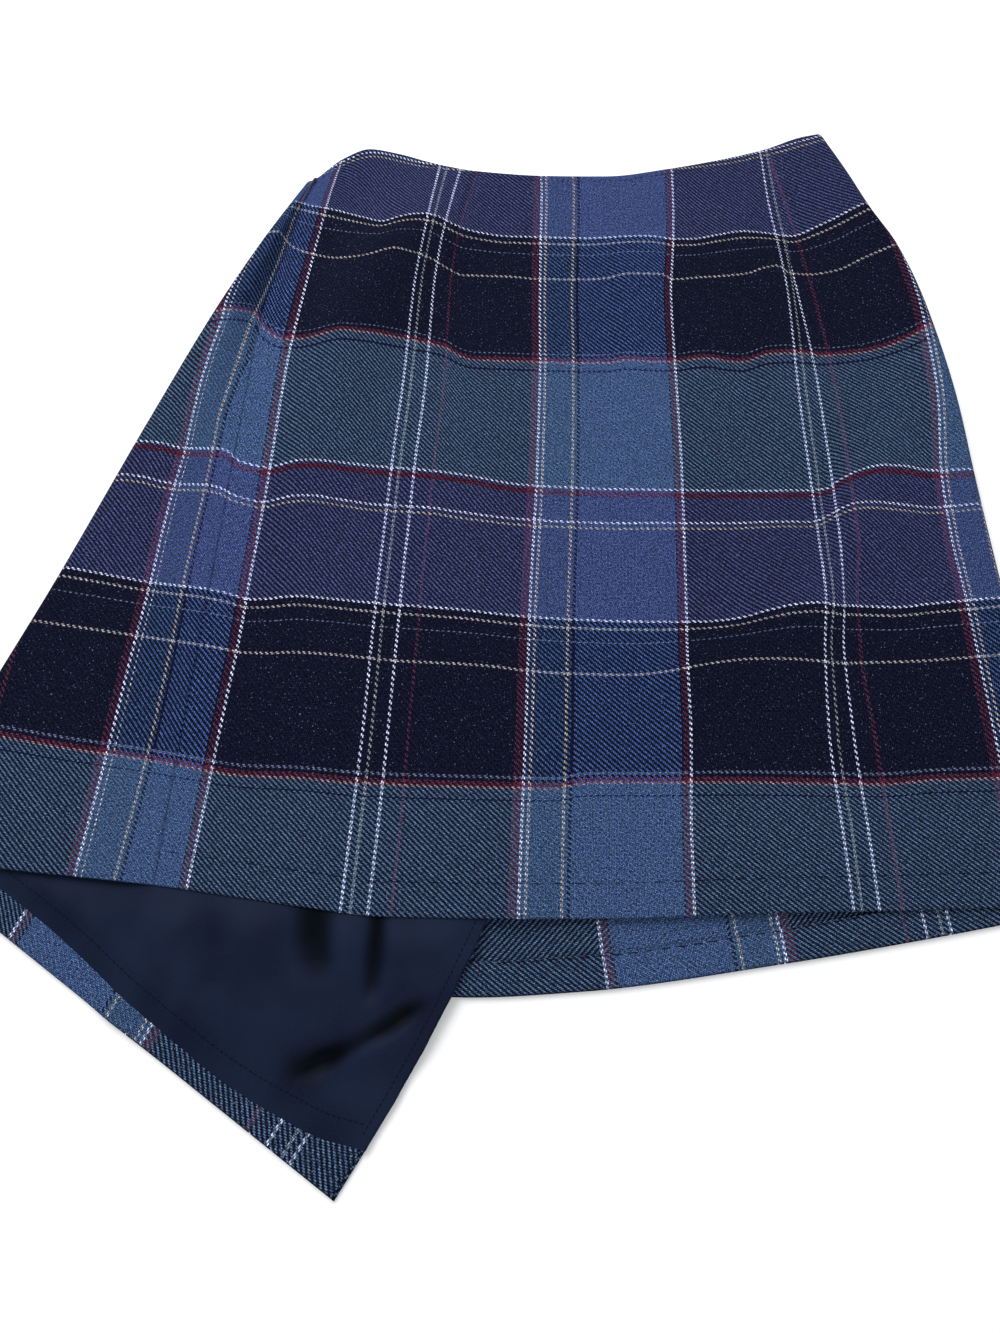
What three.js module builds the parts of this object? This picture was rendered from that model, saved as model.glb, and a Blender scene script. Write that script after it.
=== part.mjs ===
import * as THREE from 'three';

// Wrap skirt in plaid twill, laid flat on its front so that its back shows.
// Millimetres, +Z up, the table is z = 0. +Y runs up the centre back towards the waist.
// The origin lies on the table under the middle of the back hem.

// Cloth
const TWILL = 1.8;
const PRESSED_HEM = 1.2;
const SATIN = 1.0;
const SEAM_GAP = 0.3;
const HIDDEN_SEAM_GAP = 0.9;
const LAYER_GAP = 0.6;

// Heights above the table
const BACK_RISE = 10;
const LOW_BACK_RISE = 6.8;
const LAYER_LIFT = TWILL + LAYER_GAP;
const HEM_LIFT = PRESSED_HEM + LAYER_GAP;
const WAIST_STEP = 4;

// Hems
const OUTER_HEM_WIDTH = 18;
const LINING_REACH = 60;

// The waist edge and the back hem, drawn from the left side fold to the right one
const WAIST = [
  { x: -209, y: 515 }, { x: -191, y: 534 }, { x: -173, y: 543 }, { x: -151, y: 539 },
  { x: -128, y: 532 }, { x: -94, y: 525 }, { x: -47, y: 522 }, { x: 0, y: 523 },
  { x: 48, y: 532 }, { x: 83, y: 541 }, { x: 117, y: 552 }, { x: 143, y: 564 }, { x: 161, y: 569 },
];
const HEM = [
  { x: -408, y: 23 }, { x: -342, y: 17 }, { x: -254, y: 10 }, { x: -171, y: 1 }, { x: -127, y: -3 },
  { x: -60, y: -2 }, { x: 0, y: 0 }, { x: 95, y: 6 }, { x: 162, y: 9.5 }, { x: 218, y: 13 },
  { x: 270, y: 16 },
];

// Down the left side: the fold, the side seam beside it, and how high the fold's roll stands
const LEFT_SIDE = [
  { y: 515, fold: -216, seam: -209, rise: 11 },
  { y: 490, fold: -228, seam: -217, rise: 13 },
  { y: 450, fold: -246, seam: -225, rise: 16 },
  { y: 396, fold: -268.5, seam: -236, rise: 17.5 },
  { y: 310, fold: -301, seam: -241, rise: 15.5 },
  { y: 190, fold: -345, seam: -246, rise: 11 },
  { y: 110, fold: -376, seam: -250, rise: 9 },
  { y: 18, fold: -408, seam: -254, rise: 7.6 },
];

// Down the right side: the fold, the side seam tucked under it, and the height of the fold
const RIGHT_SIDE = [
  { y: 569, fold: 161, seam: 110, rise: 9.4 },
  { y: 536, fold: 177, seam: 132, rise: 10 },
  { y: 504, fold: 191, seam: 150, rise: 10.5 },
  { y: 470, fold: 208, seam: 174, rise: 11 },
  { y: 422, fold: 222, seam: 195, rise: 11 },
  { y: 342, fold: 235, seam: 213, rise: 10.5 },
  { y: 289, fold: 239, seam: 220, rise: 10 },
  { y: 220, fold: 245, seam: 228, rise: 9.5 },
  { y: 93, fold: 259, seam: 242, rise: 8.5 },
  { y: 16, fold: 270, seam: 253, rise: 7.6 },
];

// The two waist darts: the line of each, down to its point and on to the hem
const DARTS = [
  { y: 552, left: -92, right: 117 },
  { y: 524, left: -93, right: 118 },
  { y: 480, left: -101, right: 121 },
  { y: 440, left: -107, right: 129 },
  { y: 250, left: -118, right: 139 },
  { y: 0, left: -127, right: 144 },
];
const DART_POINT = 440;
const DART_RUN = 60;
const DART_DEPTH = 1.2;
const DART_SHOULDER = 5;

// The free front edge of the inner wrap panel, from the waist to its pointed corner
const INNER_FRONT = [
  { y: 532, x: 100 }, { y: 350, x: 58 }, { y: 180, x: 8 }, { y: 60, x: -40 }, { y: -6, x: -68 },
  { y: -57, x: -91 }, { y: -106, x: -117 }, { y: -145, x: -140 },
];
const INNER_POINT = { x: -140, y: -146 };

// How much of the inner panel's turned-up hem shows under its lining, by share of the hem's run
const INNER_HEM_WIDTHS = [
  { share: 0, width: 19 }, { share: 0.3, width: 17 }, { share: 0.5, width: 12 }, { share: 0.72, width: 9 },
  { share: 0.9, width: 13 }, { share: 1, width: 20 },
];

// The lower edge and the hidden front edge of the outer wrap panel
const OUTER_HEM = [
  { x: -240, y: -36 }, { x: -150, y: -44 }, { x: -84, y: -44 }, { x: -15, y: -39 }, { x: 96, y: -21 },
  { x: 163, y: -8 }, { x: 220, y: 4 }, { x: 270, y: 16 },
];
const OUTER_FRONT = [
  { y: 515, x: -160 }, { y: 250, x: -205 }, { y: -36, x: -240 },
];

// Soft folds in the back: the places that each runs through with its height there, and its half width
const FOLDS = [
  {
    path: [
      [-112, 502, 7], [-128, 474, 11], [-152, 446, 12.5], [-178, 377, 12], [-192, 279, 5], [-196, 220, 1],
    ],
    half: 32,
  },
  { path: [[-172, 500, -2.5], [-196, 446, -3]], half: 16 },
  { path: [[-226, 455, -2.5], [-239, 380, -3.5], [-243, 290, -2]], half: 18 },
  { path: [[196, 320, 1.5], [160, 250, 3], [128, 190, 2.2], [62, 152, 1.5]], half: 20 },
  { path: [[176, 345, -1], [143, 275, -2.2], [112, 205, -1.5]], half: 14 },
  { path: [[20, 455, -1.4], [28, 400, -1]], half: 18 },
  { path: [[62, 448, 2], [78, 380, 1]], half: 20 },
  { path: [[-70, 330, 1], [-86, 240, 1.2]], half: 24 },
];

// Fineness of the walls
const ROWS = 26;
const TURN_STEPS = 6;
const BACK_UNDER = 3;

const clamp01 = (t) => Math.min(1, Math.max(0, t));
const mix = (a, b, t) => a + (b - a) * t;

function smooth(low, high, value) {
  const t = clamp01((value - low) / (high - low));
  return t * t * (3 - 2 * t);
}

// A smooth curve through a table's rows that never swings past them
function curve(rows, by, column) {
  const knots = [...rows].sort((a, b) => a[by] - b[by]);
  const at = knots.map((row) => row[by]);
  const value = knots.map((row) => row[column]);
  const rate = at.slice(1).map((end, i) => (value[i + 1] - value[i]) / (end - at[i]));
  const slope = value.map((_, i) => {
    const before = rate[i - 1] ?? rate[i];
    const after = rate[i] ?? rate[i - 1];
    return before * after <= 0 ? 0 : (2 * before * after) / (before + after);
  });
  return (where) => {
    const last = at.length - 1;
    if (where <= at[0]) return value[0] + slope[0] * (where - at[0]);
    if (where >= at[last]) return value[last] + slope[last] * (where - at[last]);
    const i = at.findIndex((knot) => knot > where) - 1;
    const span = at[i + 1] - at[i];
    const t = (where - at[i]) / span;
    const rise = value[i + 1] - value[i];
    const start = slope[i] * span;
    const end = slope[i + 1] * span;
    return value[i] + start * t + (3 * rise - 2 * start - end) * t * t + (start + end - 2 * rise) * t * t * t;
  };
}

const waistAt = curve(WAIST, 'x', 'y');
const hemAt = curve(HEM, 'x', 'y');
const leftFold = curve(LEFT_SIDE, 'y', 'fold');
const leftSeam = curve(LEFT_SIDE, 'y', 'seam');
const leftRise = curve(LEFT_SIDE, 'y', 'rise');
const rightFold = curve(RIGHT_SIDE, 'y', 'fold');
const rightSeam = curve(RIGHT_SIDE, 'y', 'seam');
const rightRise = curve(RIGHT_SIDE, 'y', 'rise');
const leftDart = curve(DARTS, 'y', 'left');
const rightDart = curve(DARTS, 'y', 'right');
const innerFront = curve(INNER_FRONT, 'y', 'x');
const innerHemWidth = curve(INNER_HEM_WIDTHS, 'share', 'width');
const outerHem = curve(OUTER_HEM, 'x', 'y');
const outerFront = curve(OUTER_FRONT, 'y', 'x');

// Height that the soft folds add at a place on the back: each falls away from the nearest
// place on its path
function foldHeight(x, y) {
  let height = 0;
  for (const { path, half } of FOLDS) {
    let nearest = { away: Infinity, rise: 0 };
    for (let i = 0; i < path.length - 1; i += 1) {
      const [fromX, fromY, fromRise] = path[i];
      const run = [path[i + 1][0] - fromX, path[i + 1][1] - fromY];
      const along = clamp01(((x - fromX) * run[0] + (y - fromY) * run[1]) / (run[0] ** 2 + run[1] ** 2));
      const away = Math.hypot(x - fromX - run[0] * along, y - fromY - run[1] * along);
      if (away < nearest.away) nearest = { away, rise: mix(fromRise, path[i + 1][2], along) };
    }
    height += nearest.rise * Math.exp(-((nearest.away / half) ** 2));
  }
  return height;
}

// Depth of the groove that each dart's stitching pulls into the cloth
function dartGroove(x, y) {
  const open = smooth(DART_POINT, DART_POINT + DART_RUN, y);
  const near = Math.min(Math.abs(x - leftDart(y)), Math.abs(x - rightDart(y)));
  return DART_DEPTH * open * (1 - smooth(0, DART_SHOULDER, near));
}

// Outer surface of the back above the table: it steps down past the inner panel's front edge,
// rises into the right fold, and carries the soft folds
const SLOPE_START = 6;
const SLOPE_END = 60;

function backHeight(x, y) {
  const past = smooth(SLOPE_START, SLOPE_END, x - innerFront(y));
  const base = mix(BACK_RISE, LOW_BACK_RISE, past);
  const beside = smooth(SLOPE_END, SLOPE_START, rightFold(y) - x);
  return mix(base, rightRise(y), beside) + foldHeight(x, y) - dartGroove(x, y);
}

// Outer surface of the inner wrap panel's lower layer: it lies on the outer panel and its
// turned-up hem, and drops to the table beyond them
const DROP_START = -14;
const DROP_END = -46;

function innerLowerHeight(x, y) {
  const inside = Math.min(y - outerHem(x), x - outerFront(y));
  return (LAYER_LIFT + HEM_LIFT) * smooth(DROP_END, DROP_START, inside);
}

// A point of a half turn round a side fold: the share runs from its top to its underside
function turn(foldX, side, top, bottom, share) {
  const radius = (top - bottom) / 2;
  const angle = Math.PI * share;
  return {
    x: foldX - side * radius + side * radius * Math.sin(angle),
    z: bottom + radius + radius * Math.cos(angle),
  };
}

// Where a line of the cloth meets an edge of the garment, by moving part of the way there in rounds
const MEET_ROUNDS = 12;
const MEET_SHARE = 0.6;

function meet(xAt, edgeAt) {
  let y = edgeAt(0);
  for (let i = 0; i < MEET_ROUNDS; i += 1) {
    y = mix(y, edgeAt(xAt(y)), MEET_SHARE);
  }
  return y;
}

// Shares along a stretch that is cut into equal steps
const steps = (count) => Array.from({ length: count + 1 }, (_, i) => i / count);

// Back panel: flat from the left seam to the right fold, round the fold, and in to the right seam
const BACK_STRETCHES = [
  { from: (y) => leftSeam(y) + SEAM_GAP, to: (y) => leftDart(y) - DART_SHOULDER, count: 8 },
  { from: (y) => leftDart(y) - DART_SHOULDER, to: leftDart, count: 1 },
  { from: leftDart, to: (y) => leftDart(y) + DART_SHOULDER, count: 1 },
  { from: (y) => leftDart(y) + DART_SHOULDER, to: (y) => rightDart(y) - DART_SHOULDER, count: 12 },
  { from: (y) => rightDart(y) - DART_SHOULDER, to: rightDart, count: 1 },
  { from: rightDart, to: (y) => rightDart(y) + DART_SHOULDER, count: 1 },
  { from: (y) => rightDart(y) + DART_SHOULDER, to: (y) => rightFold(y) - rightRise(y) / 2, count: 6 },
];

function backColumns() {
  const flat = BACK_STRETCHES.flatMap(({ from, to, count }, i) => steps(count)
    .slice(i === 0 ? 0 : 1)
    .map((share) => ({ xAt: (y) => mix(from(y), to(y), share), kind: 'flat' })));
  const turned = steps(TURN_STEPS).slice(1)
    .map((share) => ({ xAt: (y) => turn(rightFold(y), 1, rightRise(y), 0, share).x, kind: 'turn', share }));
  const under = steps(BACK_UNDER).slice(1).map((share) => ({
    xAt: (y) => mix(rightFold(y) - rightRise(y) / 2, rightSeam(y), share),
    kind: 'under',
    share,
  }));
  return [...flat, ...turned, ...under];
}

function backPoint({ xAt, kind, share = 0 }, y) {
  const x = xAt(y);
  if (kind === 'turn') {
    const top = backHeight(rightFold(y) - rightRise(y) / 2, y);
    const low = turn(rightFold(y), 1, top, 0, share);
    return [x, y, low.z];
  }
  return [x, y, kind === 'flat' ? backHeight(x, y) : 0];
}

// How far below the waist edge a column ends: the cloth steps back as it goes round the fold and under
const SET_BACK = {
  flat: () => 0,
  turn: (share) => (WAIST_STEP / 2) * share,
  under: (share) => WAIST_STEP / 2 + WAIST_STEP * share,
};

function backGrid() {
  return backColumns().map((column) => {
    const top = meet(column.xAt, waistAt) - SET_BACK[column.kind](column.share);
    const bottom = meet(column.xAt, hemAt);
    return steps(ROWS).map((share) => backPoint(column, mix(top, bottom, share)));
  });
}

// Inner wrap panel: from the left seam out to the left fold, round it, and back underneath
// to the free front edge. The rows slant, because its hem runs down to a point.
const INNER_FLAT = 6;
const INNER_UNDER = 18;
const LEFT_WAIST = 511;
const LEFT_HEM = 23;
const INNER_WAIST = { x: 100, y: 530 };
const INNER_WAIST_SAG = 15;

const SEAM_WAIST = 515;
const SEAM_HEM = 10;
const BAND_CREST = 0.75;
const BAND_BOW = 2;

function innerBandHeight(share, y) {
  const atSeam = backHeight(leftSeam(y), y);
  return mix(atSeam, leftRise(y), smooth(0, BAND_CREST, share));
}

function innerBandPoint(share, down) {
  const seamY = mix(waistAt(leftSeam(SEAM_WAIST)), hemAt(leftSeam(SEAM_HEM)), down);
  const foldY = mix(LEFT_WAIST, LEFT_HEM, down);
  const y = mix(seamY, foldY, share) - BAND_BOW * share * Math.sin(Math.PI * share) * down;
  const inner = leftFold(y) + leftRise(y) / 2;
  return [mix(leftSeam(y), inner, share), y, innerBandHeight(share, y)];
}

function innerTurnPoint(share, down) {
  const y = mix(LEFT_WAIST, LEFT_HEM, down);
  const bottom = innerLowerHeight(leftFold(y), y);
  const point = turn(leftFold(y), -1, leftRise(y), bottom, share);
  return [leftFold(y) + leftRise(y) / 2 - (leftRise(y) / 2) * Math.sin(Math.PI * share), y, point.z];
}

function innerUnderPoint(share, down) {
  const foldY = mix(LEFT_WAIST, LEFT_HEM, down);
  const frontY = mix(INNER_WAIST.y, INNER_POINT.y, down);
  const sag = INNER_WAIST_SAG * Math.sin(Math.PI * share) * (1 - down) ** 3;
  const start = leftFold(foldY) + leftRise(foldY) / 2;
  const x = mix(start, innerFront(frontY), share);
  const y = mix(foldY, frontY, share) - sag;
  return [x, y, innerLowerHeight(x, y)];
}

function innerGrid() {
  const rows = steps(ROWS);
  return [
    ...steps(INNER_FLAT).map((share) => rows.map((down) => innerBandPoint(share, down))),
    ...steps(TURN_STEPS).slice(1, -1).map((share) => rows.map((down) => innerTurnPoint(share, down))),
    ...steps(INNER_UNDER).map((share) => rows.map((down) => innerUnderPoint(share, down))),
  ];
}

// Outer wrap panel: the lowest layer, from its hidden front edge to the right side seam
const OUTER_COLUMNS = 16;
const OUTER_ROWS = 14;
const OUTER_SET_BACK = 5;

function outerPoint(share, down) {
  const xAt = (y) => mix(outerFront(y), rightSeam(y) - HIDDEN_SEAM_GAP, share);
  const top = meet(xAt, waistAt) - OUTER_SET_BACK;
  const bottom = meet(xAt, outerHem);
  const y = mix(top, bottom, down);
  return [xAt(y), y, 0];
}

function outerGrid() {
  return steps(OUTER_COLUMNS).map((share) => steps(OUTER_ROWS).map((down) => outerPoint(share, down)));
}

// A wall through a grid of points on the cloth's face: its other side lies one thickness in,
// along the grid's own normals, and the rim joins the two
function normals(grid) {
  return grid.map((column, i) => column.map((_, j) => {
    const west = grid[Math.max(i - 1, 0)][j];
    const east = grid[Math.min(i + 1, grid.length - 1)][j];
    const north = column[Math.max(j - 1, 0)];
    const south = column[Math.min(j + 1, column.length - 1)];
    const across = new THREE.Vector3(east[0] - west[0], east[1] - west[1], east[2] - west[2]);
    const downward = new THREE.Vector3(south[0] - north[0], south[1] - north[1], south[2] - north[2]);
    return across.cross(downward).normalize();
  }));
}

// Points moved in from the face by a distance. The fronts' grids run round the body the other
// way than the back's, so their normals point outwards and their way in is reversed.
const BACK_WAY = 1;
const FRONT_WAY = -1;

function movedIn(grid, distance, way) {
  const direction = normals(grid);
  return grid.map((column, i) => column.map((point, j) => point.map(
    (value, axis) => value + way * distance * direction[i][j].getComponent(axis),
  )));
}

function wallBetween(face, back) {
  const across = face.length;
  const down = face[0].length;
  const points = [...face.flat(), ...back.flat()];
  const offset = across * down;
  const at = (i, j) => i * down + j;
  const triangles = [];
  const quad = (a, b, c, d) => triangles.push(a, b, c, a, c, d);
  for (let i = 0; i < across - 1; i += 1) {
    for (let j = 0; j < down - 1; j += 1) {
      quad(at(i, j), at(i, j + 1), at(i + 1, j + 1), at(i + 1, j));
      quad(offset + at(i, j), offset + at(i + 1, j), offset + at(i + 1, j + 1), offset + at(i, j + 1));
    }
  }
  const rim = [
    ...steps(across - 1).map((_, i) => at(i, 0)),
    ...steps(down - 1).slice(1).map((_, j) => at(across - 1, j + 1)),
    ...steps(across - 1).slice(1).map((_, i) => at(across - 2 - i, down - 1)),
    ...steps(down - 1).slice(1, -1).map((_, j) => at(0, down - 2 - j)),
  ];
  rim.forEach((start, k) => {
    const next = rim[(k + 1) % rim.length];
    quad(start, next, offset + next, offset + start);
  });
  return closedGeometry(points, triangles);
}

// The closed mesh with its faces turned outwards
function closedGeometry(points, triangles) {
  let volume = 0;
  for (let t = 0; t < triangles.length; t += 3) {
    const [a, b, c] = [0, 1, 2].map((k) => new THREE.Vector3(...points[triangles[t + k]]));
    volume += a.dot(b.cross(c)) / 6;
  }
  const faces = volume > 0 ? triangles : [...triangles].reverse();
  const geometry = new THREE.BufferGeometry();
  geometry.setAttribute('position', new THREE.Float32BufferAttribute(points.flat(), 3));
  geometry.setIndex(faces);
  geometry.computeVertexNormals();
  return geometry;
}

function piece(name, geometry, colour, roughness) {
  const cloth = new THREE.MeshStandardMaterial({ color: colour, roughness, metalness: 0 });
  const mesh = new THREE.Mesh(geometry, cloth);
  mesh.name = name;
  return mesh;
}

// A place between the points of a grid, counted in columns across and rows down
function between(grid, across, down) {
  const i = Math.min(grid.length - 2, Math.floor(across));
  const j = Math.min(grid[0].length - 2, Math.floor(down));
  return [0, 1, 2].map((axis) => mix(
    mix(grid[i][j][axis], grid[i][j + 1][axis], down - j),
    mix(grid[i + 1][j][axis], grid[i + 1][j + 1][axis], down - j),
    across - i,
  ));
}

// Lining and turned-up hems lie on a panel's inside: both are made from the panel's own points,
// at places given in columns and rows, moved in by the wall and a gap
function onInside(grid, places, thickness) {
  const layer = (depth) => {
    const moved = movedIn(grid, TWILL + LAYER_GAP + depth, FRONT_WAY);
    return places.map((column) => column.map(([across, down]) => between(moved, across, down)));
  };
  return wallBetween(layer(0), layer(thickness));
}

// The hem and the lining of the inner panel keep to its columns, so that they lie on its faces.
// Their distances from the panel's edges are in its columns and rows.
const AT_LEFT_FOLD = 0.45;
const AT_FRONT_EDGE = 0.15;
const AT_INNER_HEM = 0.04;
const AT_OUTER_HEM = 0.015;
const LEAST_LINING = 20;
const LINING_ROWS = 12;
const innerShares = () => [
  AT_LEFT_FOLD,
  ...steps(INNER_UNDER).slice(1, -1).map((share) => share * INNER_UNDER),
  INNER_UNDER - AT_FRONT_EDGE,
];

// Where the lining ends above the panel's edge, in rows, and how long a row is there
function innerHemTop(under, across) {
  const low = between(under, across, ROWS);
  const above = between(under, across, ROWS - 1);
  const rowLength = Math.hypot(low[0] - above[0], low[1] - above[1]);
  return { rowLength, down: ROWS - innerHemWidth(across / INNER_UNDER) / rowLength };
}

function innerHemPlaces(under) {
  return innerShares().map((across) => {
    const { rowLength, down } = innerHemTop(under, across);
    return steps(2).map((share) => [across, mix(down + SEAM_GAP / rowLength, ROWS - AT_INNER_HEM, share)]);
  });
}

function liningPlaces(under) {
  return innerShares().map((across) => {
    const { rowLength, down } = innerHemTop(under, across);
    const [x, low] = between(under, across, down);
    const top = down - Math.max(LEAST_LINING, hemAt(x) + LINING_REACH - low) / rowLength;
    return steps(LINING_ROWS).map((share) => [across, mix(top, down - SEAM_GAP / rowLength, share)]);
  });
}

function outerHemPlaces(grid) {
  return grid.map((column, i) => {
    const rowLength = column[OUTER_ROWS - 1][1] - column[OUTER_ROWS][1];
    const across = Math.min(Math.max(i, AT_FRONT_EDGE), OUTER_COLUMNS - AT_FRONT_EDGE);
    return [[across, OUTER_ROWS - OUTER_HEM_WIDTH / rowLength], [across, OUTER_ROWS - AT_OUTER_HEM]];
  });
}

const back = backGrid();
const inner = innerGrid();
const outer = outerGrid();
const innerUnder = inner.slice(inner.length - INNER_UNDER - 1);

const skirt = new THREE.Group();
skirt.add(
  piece('back_panel', wallBetween(back, movedIn(back, TWILL, BACK_WAY)), 0x2b3552, 0.85),
  piece('inner_wrap_panel', wallBetween(inner, movedIn(inner, TWILL, FRONT_WAY)), 0x33436b, 0.85),
  piece('outer_wrap_panel', wallBetween(outer, movedIn(outer, TWILL, FRONT_WAY)), 0x27334f, 0.85),
  piece('inner_wrap_lining', onInside(innerUnder, liningPlaces(innerUnder), SATIN), 0x1a2338, 0.45),
  piece('inner_wrap_hem', onInside(innerUnder, innerHemPlaces(innerUnder), PRESSED_HEM), 0x2c3a58, 0.85),
  piece('outer_wrap_hem', onInside(outer, outerHemPlaces(outer), PRESSED_HEM), 0x2c3a58, 0.85),
);

export default skirt;
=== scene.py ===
# %% [markdown]
# A wrap skirt in plaid twill, laid flat on its front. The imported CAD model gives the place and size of
# every panel. This script gives the panels their cloth: fine surfaces on the same forms, a woven plaid
# that follows the threads, a satin lining, and the sewing.

# %% Open the frame
import math
from functools import partial

import bpy
import numpy as np
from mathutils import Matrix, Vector


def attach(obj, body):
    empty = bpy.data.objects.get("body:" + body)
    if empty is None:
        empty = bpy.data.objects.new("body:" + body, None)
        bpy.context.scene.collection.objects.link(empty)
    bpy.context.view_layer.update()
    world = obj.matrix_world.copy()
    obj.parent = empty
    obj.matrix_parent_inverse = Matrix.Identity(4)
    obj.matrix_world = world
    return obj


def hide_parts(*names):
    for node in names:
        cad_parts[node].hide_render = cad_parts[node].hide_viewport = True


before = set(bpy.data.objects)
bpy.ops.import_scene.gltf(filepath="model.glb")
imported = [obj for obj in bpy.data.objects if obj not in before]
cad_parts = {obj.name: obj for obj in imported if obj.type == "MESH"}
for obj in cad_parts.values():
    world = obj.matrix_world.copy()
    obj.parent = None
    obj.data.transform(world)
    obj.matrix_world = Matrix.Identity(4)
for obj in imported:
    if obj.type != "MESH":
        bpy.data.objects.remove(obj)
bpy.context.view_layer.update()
MM = 0.001

# %% [markdown]
# The camera stands over the hem and looks down towards the waist, about 19 degrees off straight down.
# It comes first, because a flat garment is judged from this one place, and because the tables below
# were measured on a flat page at the height of the cloth, as this camera sees it.

# %% Camera
PAGE = 10.0
TILT = math.radians(19.14)
TURN = math.radians(1.84)
REACH = 602.0
AIM = np.array([-64.7, 144.7, PAGE])
FORWARD = np.array([-math.sin(TURN) * math.sin(TILT), math.cos(TURN) * math.sin(TILT), -math.cos(TILT)])
EYE = AIM - REACH * FORWARD
FRAME_HEIGHT_PX = 1333
FOCAL_PX = 1000

camera_data = bpy.data.cameras.new("Camera")
camera_data.sensor_width = 36
camera_data.lens = camera_data.sensor_width * FOCAL_PX / FRAME_HEIGHT_PX
camera = bpy.data.objects.new("Camera", camera_data)
camera.location = EYE * MM
camera.rotation_euler = (TILT, 0, TURN)
bpy.context.collection.objects.link(camera)
bpy.context.scene.camera = camera
print("camera stands at", (EYE * MM).round(3), "with a lens of", round(camera_data.lens, 2))

# %% [markdown]
# A garment cut out on white has no background of its own, so the floor is plain and pale. A large soft
# lamp beyond the waist, a weaker one on the hem's side and a bright, even surrounding give the cloth
# gentle shade in its folds.

# %% Floor and light
FLOOR_SIZE = 6.0
FLOOR_DROP = 0.0003
# Each lamp: its name, its place and its aim in metres, its width in metres and its power in watts
LAMPS = [
    ("window", (-0.6, 1.1, 1.2), (-0.05, 0.2, 0.0), 1.2, 24.5),
    ("fill", (0.6, -0.8, 1.6), (-0.05, 0.0, 0.0), 1.4, 9),
]


def set_sockets(node, values):
    """Gives a node's own sockets their values, by name."""
    for name, value in values.items():
        node.inputs[name].default_value = value


def plain_floor():
    """A square floor just under the cloth."""
    half = FLOOR_SIZE / 2
    mesh = bpy.data.meshes.new("floor")
    corners = [(x, y, -FLOOR_DROP) for x, y in ((-half, -half), (half, -half), (half, half), (-half, half))]
    mesh.from_pydata(corners, [], [(0, 1, 2, 3)])
    floor = bpy.data.objects.new("floor", mesh)
    bpy.context.collection.objects.link(floor)
    material = bpy.data.materials.new("pale floor")
    material.use_nodes = True
    finish = {"Base Color": (0.96, 0.96, 0.96, 1), "Roughness": 0.9, "Specular IOR Level": 0.1}
    set_sockets(material.node_tree.nodes["Principled BSDF"], finish)
    mesh.materials.append(material)


def soft_lamp(name, place, aim, size, power):
    """A square area lamp at a place, turned towards another."""
    data = bpy.data.lights.new(name, "AREA")
    data.size = size
    data.energy = power
    lamp = bpy.data.objects.new(name, data)
    lamp.location = place
    lamp.rotation_euler = (lamp.location - Vector(aim)).to_track_quat("Z", "Y").to_euler()
    bpy.context.collection.objects.link(lamp)


plain_floor()
for lamp in LAMPS:
    soft_lamp(*lamp)
world = bpy.data.worlds.new("even surrounding")
world.use_nodes = True
set_sockets(world.node_tree.nodes["Background"], {"Color": (0.97, 0.98, 1.0, 1), "Strength": 0.56})
bpy.context.scene.world = world
bpy.context.scene.view_settings.view_transform = "Standard"
print("lamps:", [name for name, *rest in LAMPS])

# %% [markdown]
# Sizes. Everything below is in millimetres until it goes into a mesh. The origin is on the table under
# the middle of the back hem, with +Y up the centre back. A small table has named columns and one row
# for each place, and a smooth curve runs through its rows.

# %% Tables and curves


def table(columns, *rows):
    """A small table: the names of its columns, then a row of numbers for each place."""
    return dict(zip(columns.split(), np.array(rows, float).T))


def through(*rows):
    """The path of a fold: a place and the fold's rise there in each row."""
    return table("x y rise", *rows)


def mix(a, b, t):
    """Goes straight from a to b as t goes from 0 to 1."""
    return a + (b - a) * t


def smooth(low, high, value):
    """An S from 0 at low to 1 at high: 3t^2 - 2t^3."""
    t = np.clip((value - low) / (high - low), 0, 1)
    return t * t * (3 - 2 * t)


def curve(rows, by, to):
    """A cubic through a table's rows that never swings past them. Its slope at a row is the harmonic
    mean of the rates on either side, or 0 where they point apart. Beyond the ends it runs straight."""
    order = np.argsort(rows[by])
    at = rows[by][order]
    value = rows[to][order]
    step = np.diff(at)
    rate = np.diff(value) / step
    before, after = rate[:-1], rate[1:]
    same = before * after > 0
    middle = np.where(same, 2 * before * after / np.where(same, before + after, 1), 0)
    slope = np.concatenate([rate[:1], middle, rate[-1:]])

    def read(where):
        where = np.asarray(where, float)
        i = np.clip(np.searchsorted(at, where, side="right") - 1, 0, len(step) - 1)
        t = np.clip((where - at[i]) / step[i], 0, 1)
        rise = value[i + 1] - value[i]
        start = slope[i] * step[i]
        end = slope[i + 1] * step[i]
        inside = value[i] + start * t + (3 * rise - 2 * start - end) * t**2 + (start + end - 2 * rise) * t**3
        return inside + slope[0] * np.minimum(where - at[0], 0) + slope[-1] * np.maximum(where - at[-1], 0)

    return read


# %% Cloth and heights
TWILL = 1.8
PRESSED_HEM = 1.2
SATIN = 1.0
LAYER_GAP = 0.6
BACK_RISE = 10.0
LOW_BACK_RISE = 6.8
WAIST_STEP = 4.0
LAYER_LIFT = TWILL + LAYER_GAP
HEM_LIFT = PRESSED_HEM + LAYER_GAP
STRIP_HEIGHT = LAYER_LIFT + PRESSED_HEM
LINING_HEIGHT = LAYER_LIFT + SATIN

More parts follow.
